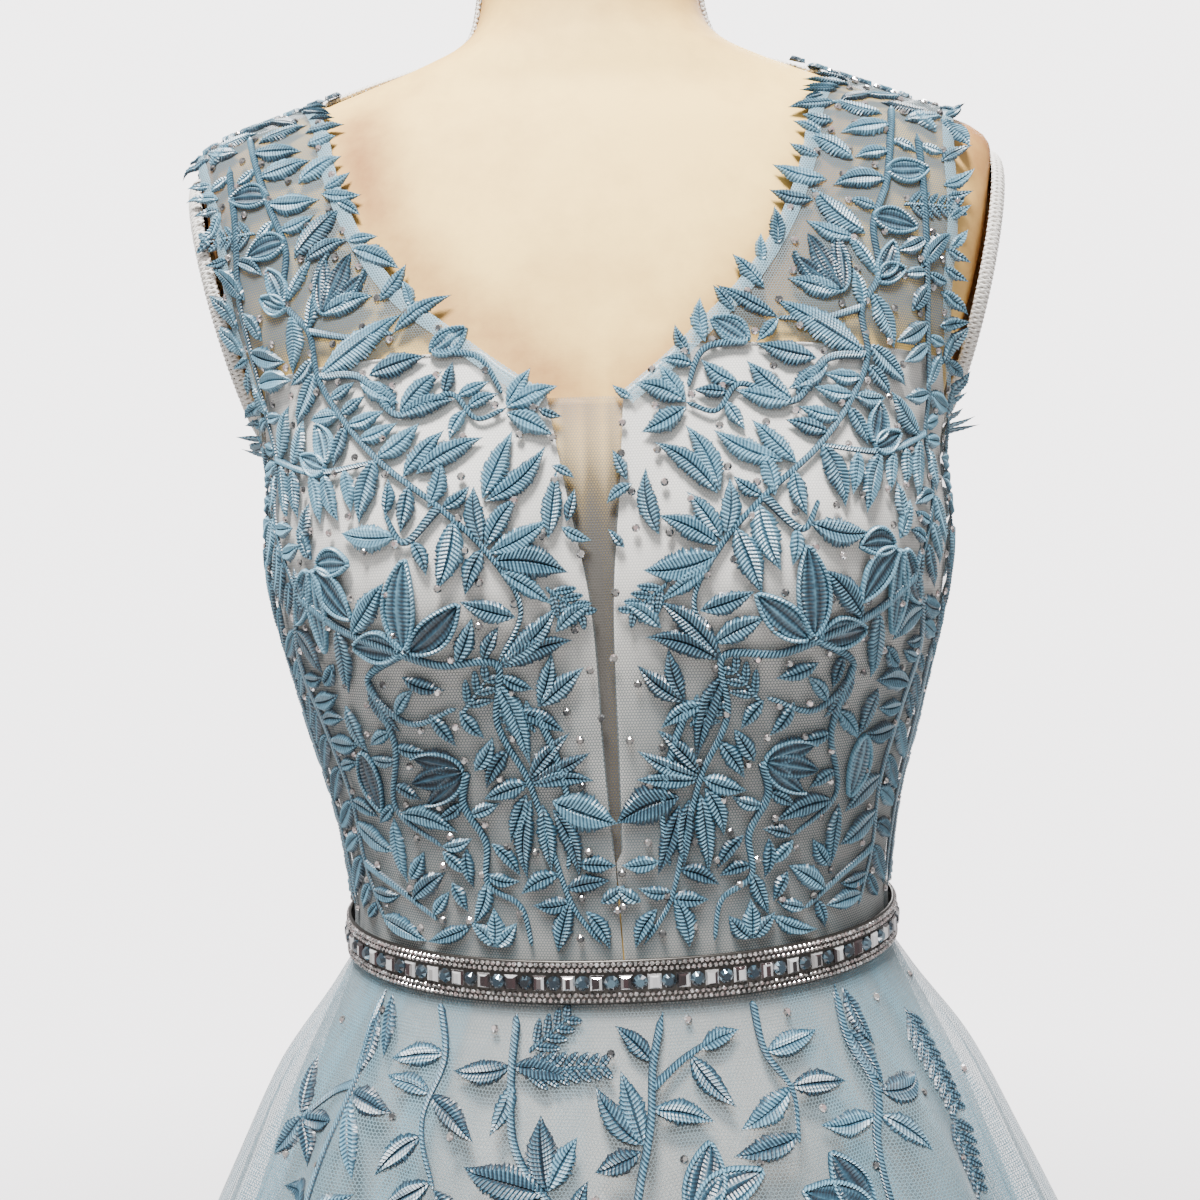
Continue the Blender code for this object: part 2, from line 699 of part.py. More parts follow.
def lining_outline(form, hand, back):
    """Cut of one lining panel: waist, centre, straight top and side."""
    waist = GAP / 2
    half = GAP / 2
    side = side_line(form, 0.200, waist, back, half)
    width = float(form.run(waist, back)) - half
    if back:
        centre = [(0.0056, t) for t in np.linspace(waist, LINING_TOP_BACK, 13)]
        limit = form.run(0.200, True) - half
        upper = [(u, LINING_TOP_BACK) for u in np.linspace(0.0056, limit - 0.02, 9)]
    else:
        centre = joined(front_centre(hand, waist, GAP), vee_line(form, hand, 0.0006))
        neck = form.chart(inner_cut(FRONT_NECK[:5], hand, False))
        neck = smooth_line(neck, 0.012) + np.array([0.0006, -0.001])
        neck = [p for p in neck if p[1] < LINING_TOP_FRONT - 0.003]
        corner = form.chart([(0.145, LINING_TOP_FRONT - 0.004), (0.1475, 0.222)])
        arm = smooth_line(corner + [side[0]], 0.011)
        flat = [(u, LINING_TOP_FRONT) for u in np.linspace(neck[-1][0] + 0.006, arm[0][0] - 0.006, 6)]
        upper = joined(neck, flat, arm)
    start = centre[0][0]
    foot = [(start + (width - start) * s, waist) for s in np.linspace(1, 0, 9)[1:-1]]
    return joined(centre, upper, side, foot)


def insert_outline(form):
    """Cut of the sheer insert between the bodice halves."""
    right = [(p[0] - GAP, min(p[1], INSERT_TOP)) for p in vee_line(form, 1, 0.0)
             if p[1] > INSERT_FOOT]
    left = [(GAP - p[0], min(p[1], INSERT_TOP)) for p in vee_line(form, -1, 0.0)
            if p[1] > INSERT_FOOT]
    middle = neck_skew(INSERT_FOOT, 1, False)
    return joined([(middle, INSERT_FOOT - 0.003)], right, left[::-1])


def skirt_sizes(drop):
    return smooth_rows(SKIRT_ROWS, np.atleast_1d(drop))


def fold_wave(angle):
    """Soft uneven folds round the skirt, alike on the two sides."""
    a = np.abs((angle + math.pi) % (2 * math.pi) - math.pi)
    phase = FOLDS * (a + 0.050 * np.sin(3 * a) + 0.030 * np.sin(7 * a))
    size = 0.74 + 0.16 * np.cos(2 * a) + 0.10 * np.cos(7 * a)
    return size * np.cos(phase)


def skirt_grid(angle, drops, spread_column, fold_share):
    """Grid of a skirt layer; rows climb from the hem to the waist."""
    rows = []
    for drop in drops[::-1]:
        half_width, front, back, square, tulle, overlay, fold = skirt_sizes(drop)[0]
        spread = (0.0, tulle, overlay)[spread_column]
        out = spread + fold_share * fold * fold_wave(angle)
        x, y = oval(angle, half_width, front, back, square)
        length = np.hypot(x / half_width**2, y / np.where(np.cos(angle) > 0, front, back) ** 2)
        nx = x / half_width**2 / length
        ny = y / np.where(np.cos(angle) > 0, front, back) ** 2 / length
        z = WAIST_Z - drop - waist_dip(angle, -drop) * np.ones_like(angle)
        rows.append(np.column_stack([x + nx * out, y + ny * out, z]))
    return np.array(rows)


def centre_hem(grid, reach):
    """Stretches the lower rows so that the hem is centred front to back."""
    out = grid.copy()
    rows = len(grid)
    low = out[0, :, 1].min()
    high = out[0, :, 1].max()
    for k in range(rows):
        share = ((WAIST_Z - grid[k, :, 2]) / HEM_DROP) ** 2
        front = 1 + (reach / -low - 1) * share
        back = 1 + (reach / high - 1) * share
        out[k, :, 1] *= np.where(out[k, :, 1] < 0, front, back)
    return out


def thicken(grid, wall, closed):
    normal = grid_normals(grid, closed=closed)
    normal[:, :, 2] *= 0.5
    normal /= np.linalg.norm(normal, axis=2)[:, :, None]
    inner = grid - normal * wall
    inner[0, :, 2] = grid[0, :, 2]
    inner[-1, :, 2] = grid[-1, :, 2]
    return inner


def build_form(form, canvas, wood, metal):
    levels = [-0.270, -0.225, -0.165, -0.110, -0.065, -0.030, 0.000, 0.030, 0.065, 0.100, 0.132,
              0.158, 0.184, 0.203, 0.220, 0.238, 0.260, 0.285, 0.308, 0.328, 0.345, 0.360, 0.378, 0.400,
              0.424, 0.446, 0.466, 0.484, 0.500, 0.522, 0.5599]
    share = np.linspace(0, 2 * QUARTER, 19)
    rings = []
    for level in levels:
        tuck = -FORM_TUCK * (1 - 0.6 * soft_step(0.25, 0.31, level))
        right = form.read(share, np.full(19, level), tuck, np.ones(19))
        left = (right * np.array([-1.0, 1.0, 1.0]))[-2:0:-1]
        rings.append(np.concatenate([right, left]))
    rings[-1][:, 2] = rings[-1][:, 2].mean()
    rings[0][:, 2] = WAIST_Z + FORM_BOTTOM
    points, faces = turned(rings)
    add_object("form_torso", points, faces, canvas)
    top = WAIST_Z + 0.460
    cap = [(0.0505, top + GAP), (0.0520, top + 0.004), (0.0500, top + 0.012), (0.036, top + 0.021),
           (0.014, top + 0.025)]
    points, faces = turned(round_rings(cap, 24))
    add_object("neck_cap", points, faces, wood)
    for name, hand in (("arm_plate_left", -1), ("arm_plate_right", 1)):
        build_plate(name, hand, wood)
    bottom = WAIST_Z + FORM_BOTTOM - GAP
    pole = [(POLE_R, BASE_THICK + COLLAR_TALL + GAP), (POLE_R, bottom - 0.012),
            (0.030, bottom - 0.011), (0.030, bottom)]
    points, faces = turned(round_rings(pole, 16))
    add_object("stand_pole", points, faces, metal)
    base = [(BASE_R - 0.003, 0.0), (BASE_R, 0.003), (BASE_R, BASE_THICK - 0.006),
            (BASE_R - 0.012, BASE_THICK), (COLLAR_R, BASE_THICK + 0.004),
            (0.021, BASE_THICK + COLLAR_TALL)]
    points, faces = turned(round_rings(base, 32))
    add_object("stand_base", points, faces, metal)


def build_plate(name, hand, material):
    """Oval plate with a raised rim that closes an armhole of the form."""
    lean = math.atan(PLATE_LEAN)
    out = np.array([math.cos(lean), 0.0, -math.sin(lean)])
    up = np.array([math.sin(lean), 0.0, math.cos(lean)])
    centre_x = PLATE_FOOT_X + PLATE_LEAN * (PLATE_Z - PLATE_FOOT_Z)
    centre = np.array([centre_x, 0.003, WAIST_Z + PLATE_Z]) + out * GAP
    angle = np.linspace(0, 2 * math.pi, 24, endpoint=False)
    profile = [(0.985, 0.0), (1.0, 0.0042), (0.955, 0.0054), (0.91, PLATE_THICK)]
    rings = []
    for size, rise in profile:
        across = PLATE_HALF_DEEP * size * np.cos(angle)
        along = PLATE_HALF_TALL * size * np.sin(angle)
        rings.append(centre + out * rise + np.outer(across, [0, 1, 0]) + np.outer(along, up))
    points, faces = turned(rings)
    points = [p * np.array([hand, 1.0, 1.0]) for p in points]
    add_object(name, points, faces if hand > 0 else flip_faces(faces), material)


def build_bodice(form, net, lining, sheer):
    for hand, side in ((1, "right"), (-1, "left")):
        for back in (False, True):
            label = ("back_" if back else "front_") + side
            leaf_rows = BACK_LEAVES if back else FRONT_LEAVES
            stem_rows = BACK_STEMS if back else FRONT_STEMS
            clamp = make_clamp(form, hand, back)
            feet = form.chart(motif_places([row[:2] for row in leaf_rows], hand, back), back)
            leaves = [(np.array(foot), row[2], row[3] / 1000, row[4] / 1000)
                      for foot, row in zip(feet, leaf_rows)]
            stems = [smooth_line(form.chart(motif_places(line, hand, back), back), 0.024)
                     for line in stem_rows]

            def place(points, offset):
                return form.at(hand * points[:, 0], points[:, 1], offset, back)

            outline = bodice_outline(form, hand, back)
            points, faces = cloth_panel(outline, place, net_offset, NET_WALL, leaves, stems, clamp)
            inward = (hand > 0) == back
            add_object("bodice_net_" + label, points, flip_faces(faces) if inward else faces, net)
            outline = lining_outline(form, hand, back)
            wall = LINING_OUT - LINING_IN
            points, faces = cloth_panel(outline, place, fixed_offset(LINING_IN), wall)
            add_object("bodice_lining_" + label, points, flip_faces(faces) if inward else faces, lining)

    def place_front(points, offset):
        return form.at(points[:, 0], points[:, 1], offset)

    points, faces = cloth_panel(insert_outline(form), place_front, fixed_offset(LINING_IN), 0.0010)
    add_object("sheer_insert", points, faces, sheer)


def motif_places(pairs, hand, back):
    """Places of the stitching in metres, shifted with the askew cloth."""
    out = []
    for x, z in pairs:
        rise = z / 1000
        shift = 0.5 * neck_skew(rise, hand, back) + 0.5 * arm_skew(rise, hand)
        out.append((x / 1000 + shift, rise))
    return out


def build_belt(form, material):
    """Stone belt on the waist seam, parted at the centre back under its hook."""
    count = 2 * STONE_PAIRS
    share = np.linspace(0.0, 1.0, count + 1)
    column = np.abs(share - 0.5) * 4 * QUARTER
    hand = np.where(share < 0.5, -1.0, 1.0)
    column = np.minimum(column, 2 * QUARTER - 0.06)
    waist = np.zeros(count + 1)
    stones = np.where(np.arange(count + 1) % 2 == 0, STONE_RAISE, 0.4 * STONE_RAISE)
    stones[[0, -1]] = 0.0
    outer = []
    inner = []
    for rise, lift in ((-BELT_HALF, 0.0), (0.0, 1.0), (BELT_HALF, 0.0)):
        ring = form.read(column, waist, BELT_IN + BELT_WALL + stones * lift, hand)
        ring[:, 2] += rise
        outer.append(ring)
    for rise in (-BELT_HALF, BELT_HALF):
        ring = form.read(column, waist, BELT_IN, hand)
        ring[:, 2] += rise
        inner.append(ring)
    points, faces = shell(np.array(outer), np.array(inner), closed=False)
    add_object("stone_belt", points, faces, material)


def build_skirt(overlay, tulle, slip):
    drops = np.array([row[0] for row in SKIRT_ROWS])
    drops[0] = GAP / 2
    for name, start in (("skirt_overlay_front", -0.5), ("skirt_overlay_back", 0.5)):
        angle = np.linspace(start * math.pi, (start + 1) * math.pi, 41)
        grid = centre_hem(skirt_grid(angle, drops, 2, 1.0), HEM_REACH)
        inner = thicken(grid, SKIRT_WALL, closed=False)
        inner[:, [0, -1], 1] = 0.0
        for edge in (grid, inner):
            edge[:, [0, -1], 1] = 0.5 * GAP if "back" in name else -0.5 * GAP
        points, faces = shell(grid, inner, closed=False)
        add_object(name, points, faces, overlay)
    angle = np.linspace(-math.pi, math.pi, 48, endpoint=False)
    grid = skirt_grid(angle, drops[[0, 1, 2, 4, 5, 6, 8]], 1, 0.0)
    points, faces = shell(grid, thicken(grid, SKIRT_WALL, closed=True), closed=True)
    add_object("skirt_tulle", points, faces, tulle)
    angle = np.linspace(-math.pi, math.pi, 40, endpoint=False)
    grid = skirt_grid(angle, drops[[0, 1, 3, 5, 6, 8]], 0, 0.0)
    grid = grid + grid_normals(grid, closed=True) * LINING_OUT
    grid[-1, :, 2] = WAIST_Z - drops[0] - waist_dip(angle, 0.0)
    points, faces = shell(grid, thicken(grid, LINING_OUT - LINING_IN, closed=True), closed=True)
    add_object("skirt_slip", points, faces, slip)


def build_zip(form, tape, metal):
    """Concealed zip up the centre back, closed, with its slider at the top."""
    levels = np.linspace(0.006, LINING_TOP_BACK + 0.004, 13)
    across = np.array([-0.0050, 0.0, 0.0050])
    outer = []
    inner = []
    for level in levels:
        row = np.full(3, level)
        outer.append(form.at(across[::-1], row, LINING_IN + 0.0011, back=True))
        inner.append(form.at(across[::-1], row, LINING_IN, back=True))
    points, faces = shell(np.array(outer), np.array(inner), closed=False)
    add_object("back_zip_tape", points, faces, tape)
    base = NET_ON_LINING + NET_WALL + GAP
    profile = [(0.2065, 0.0022), (0.2045, 0.0030), (0.1975, 0.0030), (0.1955, 0.0016), (0.1770, 0.0030)]
    outer = []
    inner = []
    for level, half in profile[::-1]:
        row = np.full(2, level)
        across = np.array([half, -half])
        rise = 0.0022 if level > 0.196 else 0.0012
        outer.append(form.at(across, row, base + rise, back=True))
        inner.append(form.at(across, row, base, back=True))
    points, faces = shell(np.array(outer), np.array(inner), closed=False)
    add_object("back_zip_slider", points, faces, metal)


def main():
    clear_scene()
    net = make_material("blue_embroidered_net", (0.30, 0.47, 0.58), 0.75)
    overlay = make_material("blue_embroidered_tulle", (0.46, 0.60, 0.68), 0.80)
    tulle = make_material("pale_blue_tulle", (0.62, 0.74, 0.80), 0.80)
    ivory = make_material("ivory_satin", (0.86, 0.85, 0.82), 0.45)
    sheer = make_material("taupe_mesh", (0.55, 0.53, 0.50), 0.80)
    stones = make_material("belt_rhinestones", (0.72, 0.72, 0.74), 0.18, 0.85)
    tape = make_material("zip_tape", (0.34, 0.50, 0.60), 0.70)
    silver = make_material("zip_metal", (0.60, 0.62, 0.64), 0.30, 1.0)
    canvas = make_material("form_canvas", (0.83, 0.72, 0.55), 0.80)
    trim = make_material("form_trim", (0.86, 0.82, 0.75), 0.75)
    metal = make_material("stand_metal", (0.78, 0.77, 0.75), 0.35, 0.9)
    form = Form()
    build_form(form, canvas, trim, metal)
    build_bodice(form, net, ivory, sheer)
    build_belt(form, stones)
    build_skirt(overlay, tulle, ivory)
    build_zip(form, tape, silver)


main()
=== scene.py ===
# Looks of a prom dress on a limbless dress form: embroidered net over ivory
# lining, a stone belt, sheer skirts and a covered form. Metres, +Z up, front -Y.

import math
from itertools import product

import bpy
import numpy as np
from mathutils import Matrix, Vector
from mathutils.geometry import delaunay_2d_cdt


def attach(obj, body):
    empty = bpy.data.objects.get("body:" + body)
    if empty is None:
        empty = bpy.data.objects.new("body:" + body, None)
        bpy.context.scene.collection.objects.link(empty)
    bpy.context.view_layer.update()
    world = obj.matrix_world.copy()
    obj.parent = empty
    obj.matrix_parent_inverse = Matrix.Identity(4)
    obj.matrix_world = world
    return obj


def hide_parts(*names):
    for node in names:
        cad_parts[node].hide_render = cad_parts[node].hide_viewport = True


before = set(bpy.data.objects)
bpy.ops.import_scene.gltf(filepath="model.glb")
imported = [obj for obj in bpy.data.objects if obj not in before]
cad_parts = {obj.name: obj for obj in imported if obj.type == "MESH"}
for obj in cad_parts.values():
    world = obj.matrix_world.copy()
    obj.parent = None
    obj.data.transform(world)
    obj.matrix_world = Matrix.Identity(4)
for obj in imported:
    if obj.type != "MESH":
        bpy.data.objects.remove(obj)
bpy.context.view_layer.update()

RANDOM = np.random.default_rng(11)

# Driving sizes, the same as the solids'
WAIST_Z = 1.040
NECK_TOP = 0.560
FORM_BOTTOM = -0.270
HEM_DROP = 1.025
FRONT_DIP = 0.012
GAP = 0.0003

# Layer offsets from the form
LINING_OUT = 0.0018
NET_ON_LINING = 0.0038
NET_ON_FORM = 0.0027
BELT_OUT = 0.0066
BELT_HALF = 0.0087
STONE_PAIRS = 60
INSERT_OUT = 0.0013
BAND_WIDTH = 0.0065
STEM_HALF = 0.0014
STITCH_FOOT = 0.0118
STONE_FOOT = 0.014
STAND_FREE = 0.7

# Form: side distance, height over the waist, half width, front depth, back
# depth, squareness
FORM_ROWS = [
    (-0.270, -0.270, 0.146, 0.088, 0.104, 2.20),
    (-0.200, -0.200, 0.164, 0.100, 0.120, 2.30),
    (-0.100, -0.100, 0.146, 0.097, 0.108, 2.30),
    (-0.040, -0.040, 0.127, 0.091, 0.090, 2.20),
    (0.000, 0.000, 0.1205, 0.089, 0.084, 2.20),
    (0.050, 0.050, 0.1255, 0.093, 0.086, 2.20),
    (0.100, 0.100, 0.1390, 0.101, 0.094, 2.25),
    (0.160, 0.160, 0.1525, 0.108, 0.104, 2.35),
    (0.210, 0.210, 0.1525, 0.106, 0.110, 2.35),
    (0.250, 0.250, 0.1650, 0.099, 0.110, 2.25),
    (0.290, 0.290, 0.1830, 0.090, 0.104, 2.10),
    (0.325, 0.324, 0.1930, 0.079, 0.094, 1.90),
    (0.345, 0.342, 0.1920, 0.072, 0.088, 1.80),
    (0.365, 0.354, 0.1830, 0.066, 0.082, 1.70),
    (0.391, 0.3625, 0.1600, 0.062, 0.076, 1.70),
    (0.434, 0.3755, 0.1200, 0.059, 0.069, 1.75),
    (0.464, 0.3850, 0.0900, 0.057, 0.064, 1.85),
    (0.484, 0.3930, 0.0700, 0.055, 0.059, 1.95),
    (0.500, 0.4030, 0.0575, 0.0535, 0.055, 2.00),
    (0.525, 0.4260, 0.0505, 0.0515, 0.052, 2.00),
    (0.560, 0.4600, 0.0495, 0.050, 0.050, 2.00),
]
BUST_X = 0.082
BUST_Z = 0.152
BUST_FULL = 0.019
BUST_WIDE = 0.050
BUST_TALL = 0.062

PLATE_FOOT_Z = 0.215
PLATE_FOOT_X = 0.1540
PLATE_LEAN = 0.23
PLATE_SOFT = 0.0015
PLATE_Z = 0.282
PLATE_HALF_DEEP = 0.041
PLATE_HALF_TALL = 0.064

# Skirt: drop, slip half width, slip front depth, slip back depth, squareness,
# tulle spread, overlay spread, fold depth
SKIRT_ROWS = [
    (0.000, 0.1205, 0.0890, 0.0840, 2.20, 0.0037, 0.0050, 0.0000),
    (0.010, 0.1207, 0.0890, 0.0840, 2.20, 0.0037, 0.0050, 0.0000),
    (0.028, 0.1280, 0.0960, 0.0920, 2.20, 0.0050, 0.0076, 0.0008),
    (0.065, 0.1420, 0.1120, 0.1110, 2.20, 0.0088, 0.0158, 0.0038),
    (0.120, 0.1580, 0.1290, 0.1340, 2.20, 0.0130, 0.0250, 0.0070),
    (0.210, 0.1860, 0.1590, 0.1660, 2.15, 0.0170, 0.0360, 0.0110),
    (0.380, 0.2390, 0.2150, 0.2230, 2.05, 0.0220, 0.0490, 0.0170),
    (0.660, 0.3230, 0.3040, 0.3110, 2.00, 0.0290, 0.0640, 0.0230),
    (1.025, 0.4230, 0.4100, 0.4140, 2.00, 0.0340, 0.0780, 0.0290),
]
FOLDS = 16
HEM_REACH = 0.500

# Cut lines, half width and height over the waist
V_EDGE = [(0.0003, 0.050), (0.0020, 0.083), (0.0045, 0.145), (0.0100, 0.184), (0.0145, 0.2215)]
FRONT_NECK = [(0.0145, 0.2215), (0.031, 0.234), (0.048, 0.249), (0.0676, 0.268), (0.084, 0.292),
              (0.0957, 0.319), (0.103, 0.346)]
FRONT_ARM = [(0.167, 0.337), (0.160, 0.299), (0.154, 0.264), (0.149, 0.236)]
BACK_NECK = [(0.0003, 0.214), (0.014, 0.221), (0.047, 0.252), (0.078, 0.295), (0.097, 0.338)]
BACK_ARM = [(0.167, 0.340), (0.160, 0.304), (0.153, 0.266), (0.149, 0.236)]
SKEW_ROWS = [(0.00, 0.0), (0.05, 0.0025), (0.145, 0.0045), (0.22, 0.008), (0.27, 0.012),
             (0.40, 0.012)]
ARM_SKEW = 0.006
STRAP_NECK_X = 0.109
STRAP_ARM_X = 0.170
ARMPIT = 0.210
LINING_TOP_FRONT = 0.240
LINING_TOP_BACK = 0.204
INSERT_TOP = 0.2205
INSERT_FOOT = 0.054
INSERT_TAIL = 0.016
UNDERLAP = 0.0015

# Stems, half width and height over the waist in millimetres
FRONT_STEMS = [
    [(142, 352), (136, 332), (130, 312), (122, 292), (122, 270), (112, 256), (110, 236), (98, 214),
     (84, 197), (62, 178), (46, 162), (34, 140), (44, 121)],
    [(134, 206), (112, 196), (84, 197)],
    [(125, 150), (104, 136), (84, 128), (66, 122), (44, 121), (45, 100), (34, 78), (26, 52), (18, 28),
     (8, 14)],
    [(76, 128), (94, 116), (78, 100), (60, 106)],
    [(94, 116), (86, 92), (88, 66), (70, 52)],
    [(58, 82), (60, 70), (52, 54), (52, 38), (40, 30), (36, 14)],
    [(112, 256), (92, 250), (76, 250)],
    [(110, 236), (92, 233), (76, 215), (55, 222), (46, 212), (35, 216)],
    [(62, 240), (44, 237), (36, 222)],
    [(62, 178), (76, 166), (82, 176)],
    [(150, 338), (147, 306), (145, 276), (141, 248), (137, 220), (134, 206), (136, 186), (125, 150)],
    [(125, 150), (128, 124), (118, 96), (110, 70), (106, 40), (98, 16)],
    [(136, 120), (128, 84), (120, 52), (114, 20)],
    [(30, 104), (22, 84), (18, 62), (20, 44)],
    [(106, 40), (90, 32), (74, 22)],
]
BACK_STEMS = [
    [(148, 352), (138, 322), (132, 290), (118, 262), (98, 236), (84, 206), (66, 176), (46, 150), (34, 124)],
    [(134, 188), (108, 184), (84, 206)],
    [(120, 130), (92, 118), (62, 122), (50, 92), (52, 60), (34, 34)],
    [(156, 340), (150, 300), (144, 262), (138, 224), (134, 188)],
    [(62, 238), (44, 232), (26, 210), (20, 184), (26, 160)],
    [(134, 160), (126, 130), (120, 96), (112, 60), (100, 26)],
    [(52, 60), (74, 44), (80, 22)],
    [(34, 124), (22, 96), (18, 62), (22, 30)],
]

# Motifs: foot in millimetres, direction in degrees (0 outward, 90 up), length
# and width in millimetres, and form: a satin leaf, a corded petal or a tulip
LEAF, PETAL, TULIP = range(3)
FRONT_LEAVES = [
    (131, 318, 8, 22, 11, PETAL), (117, 322, 152, 23, 10, LEAF), (122, 296, -8, 22, 11, PETAL),
    (118, 288, 139, 30, 12, LEAF), (113, 286, 162, 22, 8, LEAF), (122, 270, 62, 18, 9, PETAL),
    (121, 268, 24, 16, 8, PETAL), (121, 270, 128, 22, 6, LEAF), (142, 276, 43, 26, 10, LEAF),
    (135, 257, 52, 18, 8, LEAF), (105, 262, 118, 28, 20, TULIP), (105, 262, 168, 24, 10, LEAF),
    (112, 256, 100, 17, 7, LEAF), (109, 236, 150, 44, 13, LEAF), (88, 233, 166, 25, 10, LEAF),
    (92, 231, 212, 21, 8, LEAF), (76, 250, 150, 28, 7, LEAF), (62, 240, 146, 17, 10, PETAL),
    (76, 215, 135, 24, 9, LEAF), (76, 214, 165, 23, 9, LEAF), (78, 217, 62, 15, 8, LEAF),
    (35, 217, 124, 18, 7, LEAF), (35, 216, 158, 22, 9, LEAF), (35, 214, 207, 20, 9, LEAF),
    (101, 218, 2, 17, 8, LEAF), (107, 199, 74, 18, 10, PETAL), (107, 197, 24, 18, 9, PETAL),
    (137, 226, 60, 20, 8, LEAF), (134, 210, 20, 16, 7, LEAF), (136, 200, 292, 20, 8, LEAF),
    (75, 190, 132, 24, 8, LEAF), (70, 191, 152, 29, 9, LEAF), (66, 178, 106, 19, 7, LEAF),
    (46, 181, 116, 29, 9, LEAF), (45, 180, 139, 32, 9, LEAF), (47, 164, 85, 22, 8, LEAF),
    (46, 163, 126, 23, 8, LEAF), (45, 161, 153, 27, 9, LEAF), (44, 158, 189, 30, 13, LEAF),
    (42, 155, 212, 25, 7, LEAF), (22, 166, 100, 26, 8, LEAF), (112, 160, 182, 20, 10, PETAL),
    (113, 158, 222, 28, 12, PETAL), (115, 158, 262, 32, 12, PETAL), (117, 158, 305, 25, 12, PETAL),
    (115, 162, 60, 18, 9, LEAF), (118, 168, 105, 17, 8, LEAF), (78, 128, 94, 32, 12, PETAL),
    (80, 127, 6, 22, 11, PETAL), (76, 127, 139, 25, 11, PETAL), (36, 138, 17, 22, 8, LEAF),
    (43, 121, 138, 31, 10, LEAF), (43, 120, 163, 30, 9, LEAF), (21, 132, 146, 18, 7, LEAF),
    (80, 118, 197, 18, 6, LEAF), (95, 114, 232, 22, 7, LEAF), (59, 105, 230, 14, 6, LEAF),
    (71, 104, 232, 16, 6, LEAF), (45, 116, 249, 35, 9, LEAF), (37, 104, 206, 20, 7, LEAF),
    (29, 105, 106, 21, 7, LEAF), (29, 105, 143, 23, 8, LEAF), (59, 82, 347, 24, 20, TULIP),
    (55, 82, 122, 15, 7, LEAF), (34, 77, 342, 19, 8, LEAF), (34, 78, 135, 24, 7, LEAF),
    (34, 77, 157, 27, 7, LEAF), (33, 76, 178, 25, 7, LEAF), (25, 70, 200, 27, 15, LEAF),
    (35, 73, 291, 20, 8, LEAF), (33, 71, 275, 31, 8, LEAF), (29, 69, 264, 26, 8, LEAF),
    (25, 67, 250, 28, 8, LEAF), (87, 64, 193, 27, 9, LEAF), (70, 50, 219, 14, 6, LEAF),
    (67, 38, 240, 13, 6, LEAF), (60, 52, 262, 16, 6, LEAF), (52, 40, 292, 20, 7, LEAF),
    (50, 54, 228, 17, 6, LEAF), (60, 21, 337, 23, 7, LEAF), (51, 13, 90, 16, 8, LEAF),
    (51, 13, 42, 14, 7, LEAF), (51, 13, 132, 14, 7, LEAF), (26, 12, 106, 23, 8, LEAF),
    (14, 28, 240, 18, 7, LEAF), (19, 32, 354, 16, 7, LEAF), (16, 46, 184, 15, 7, LEAF),
    (8, 31, 146, 12, 6, LEAF), (101, 88, 254, 25, 12, PETAL), (106, 106, 241, 21, 8, LEAF),
    (109, 122, 324, 14, 8, LEAF), (121, 142, 70, 19, 8, LEAF), (90, 62, 261, 27, 8, LEAF),
    (85, 37, 124, 15, 7, LEAF), (158, 350, 165, 24, 10, LEAF), (150, 358, 190, 24, 9, LEAF),
    (126, 357, 10, 26, 10, LEAF), (118, 352, 35, 24, 9, LEAF), (136, 346, 160, 26, 10, LEAF),
    (146, 344, 20, 24, 10, LEAF), (160, 340, 120, 20, 9, LEAF), (112, 340, 165, 14, 8, LEAF),
]
BACK_LEAVES = [
    (150, 354, 60, 26, 13, LEAF), (134, 344, 125, 30, 13, LEAF), (138, 320, 10, 28, 13, LEAF),
    (130, 304, 150, 32, 13, LEAF), (120, 264, 160, 34, 14, LEAF), (112, 246, -20, 34, 13, LEAF),
    (94, 232, 150, 34, 13, LEAF), (78, 192, 170, 36, 13, LEAF), (116, 186, 70, 28, 15, PETAL),
    (62, 172, 120, 34, 13, LEAF), (122, 132, 40, 30, 15, PETAL), (122, 132, 110, 30, 15, PETAL),
    (122, 132, 180, 30, 15, PETAL), (60, 118, 150, 32, 13, LEAF), (50, 92, 200, 34, 13, LEAF),
    (52, 76, -10, 34, 13, LEAF), (50, 58, 240, 32, 13, LEAF), (112, 60, -90, 30, 12, LEAF),
]
FRONT_FERNS = [(137, 303, 5, 30), (58, 104, 128, 17), (24, 148, 215, 18), (30, 96, 40, 14)]
BACK_FERNS = [(144, 300, 20, 34), (100, 150, 120, 30), (30, 96, 60, 26)]

# Skirt vines: girth distance from the centre front, to the right, and drop in
# millimetres; directions with 0 to the right and 90 up
SKIRT_STEMS = [
    [(-43, 13), (-44, 36), (-41, 58), (-30, 76), (-20, 86), (2, 88), (18, 83)],
    [(14, 13), (9, 31), (7, 49), (2, 69), (-2, 92), (4, 130), (-6, 176), (4, 230)],
    [(9, 38), (22, 29), (36, 22)],
    [(88, 12), (88, 31), (94, 48), (91, 66), (93, 92), (104, 130), (100, 176), (112, 240)],
    [(-106, 12), (-111, 26), (-112, 45), (-116, 68), (-119, 92), (-112, 136), (-124, 190), (-118, 250)],
    [(-112, 46), (-124, 52), (-138, 64)],
    [(2, 88), (-26, 112), (-40, 150), (-34, 200), (-48, 262)],
    [(93, 92), (66, 112), (48, 150), (54, 200)],
    [(50, 12), (52, 30), (60, 44), (58, 60)],
    [(-76, 12), (-72, 30), (-78, 52), (-70, 74)],
]
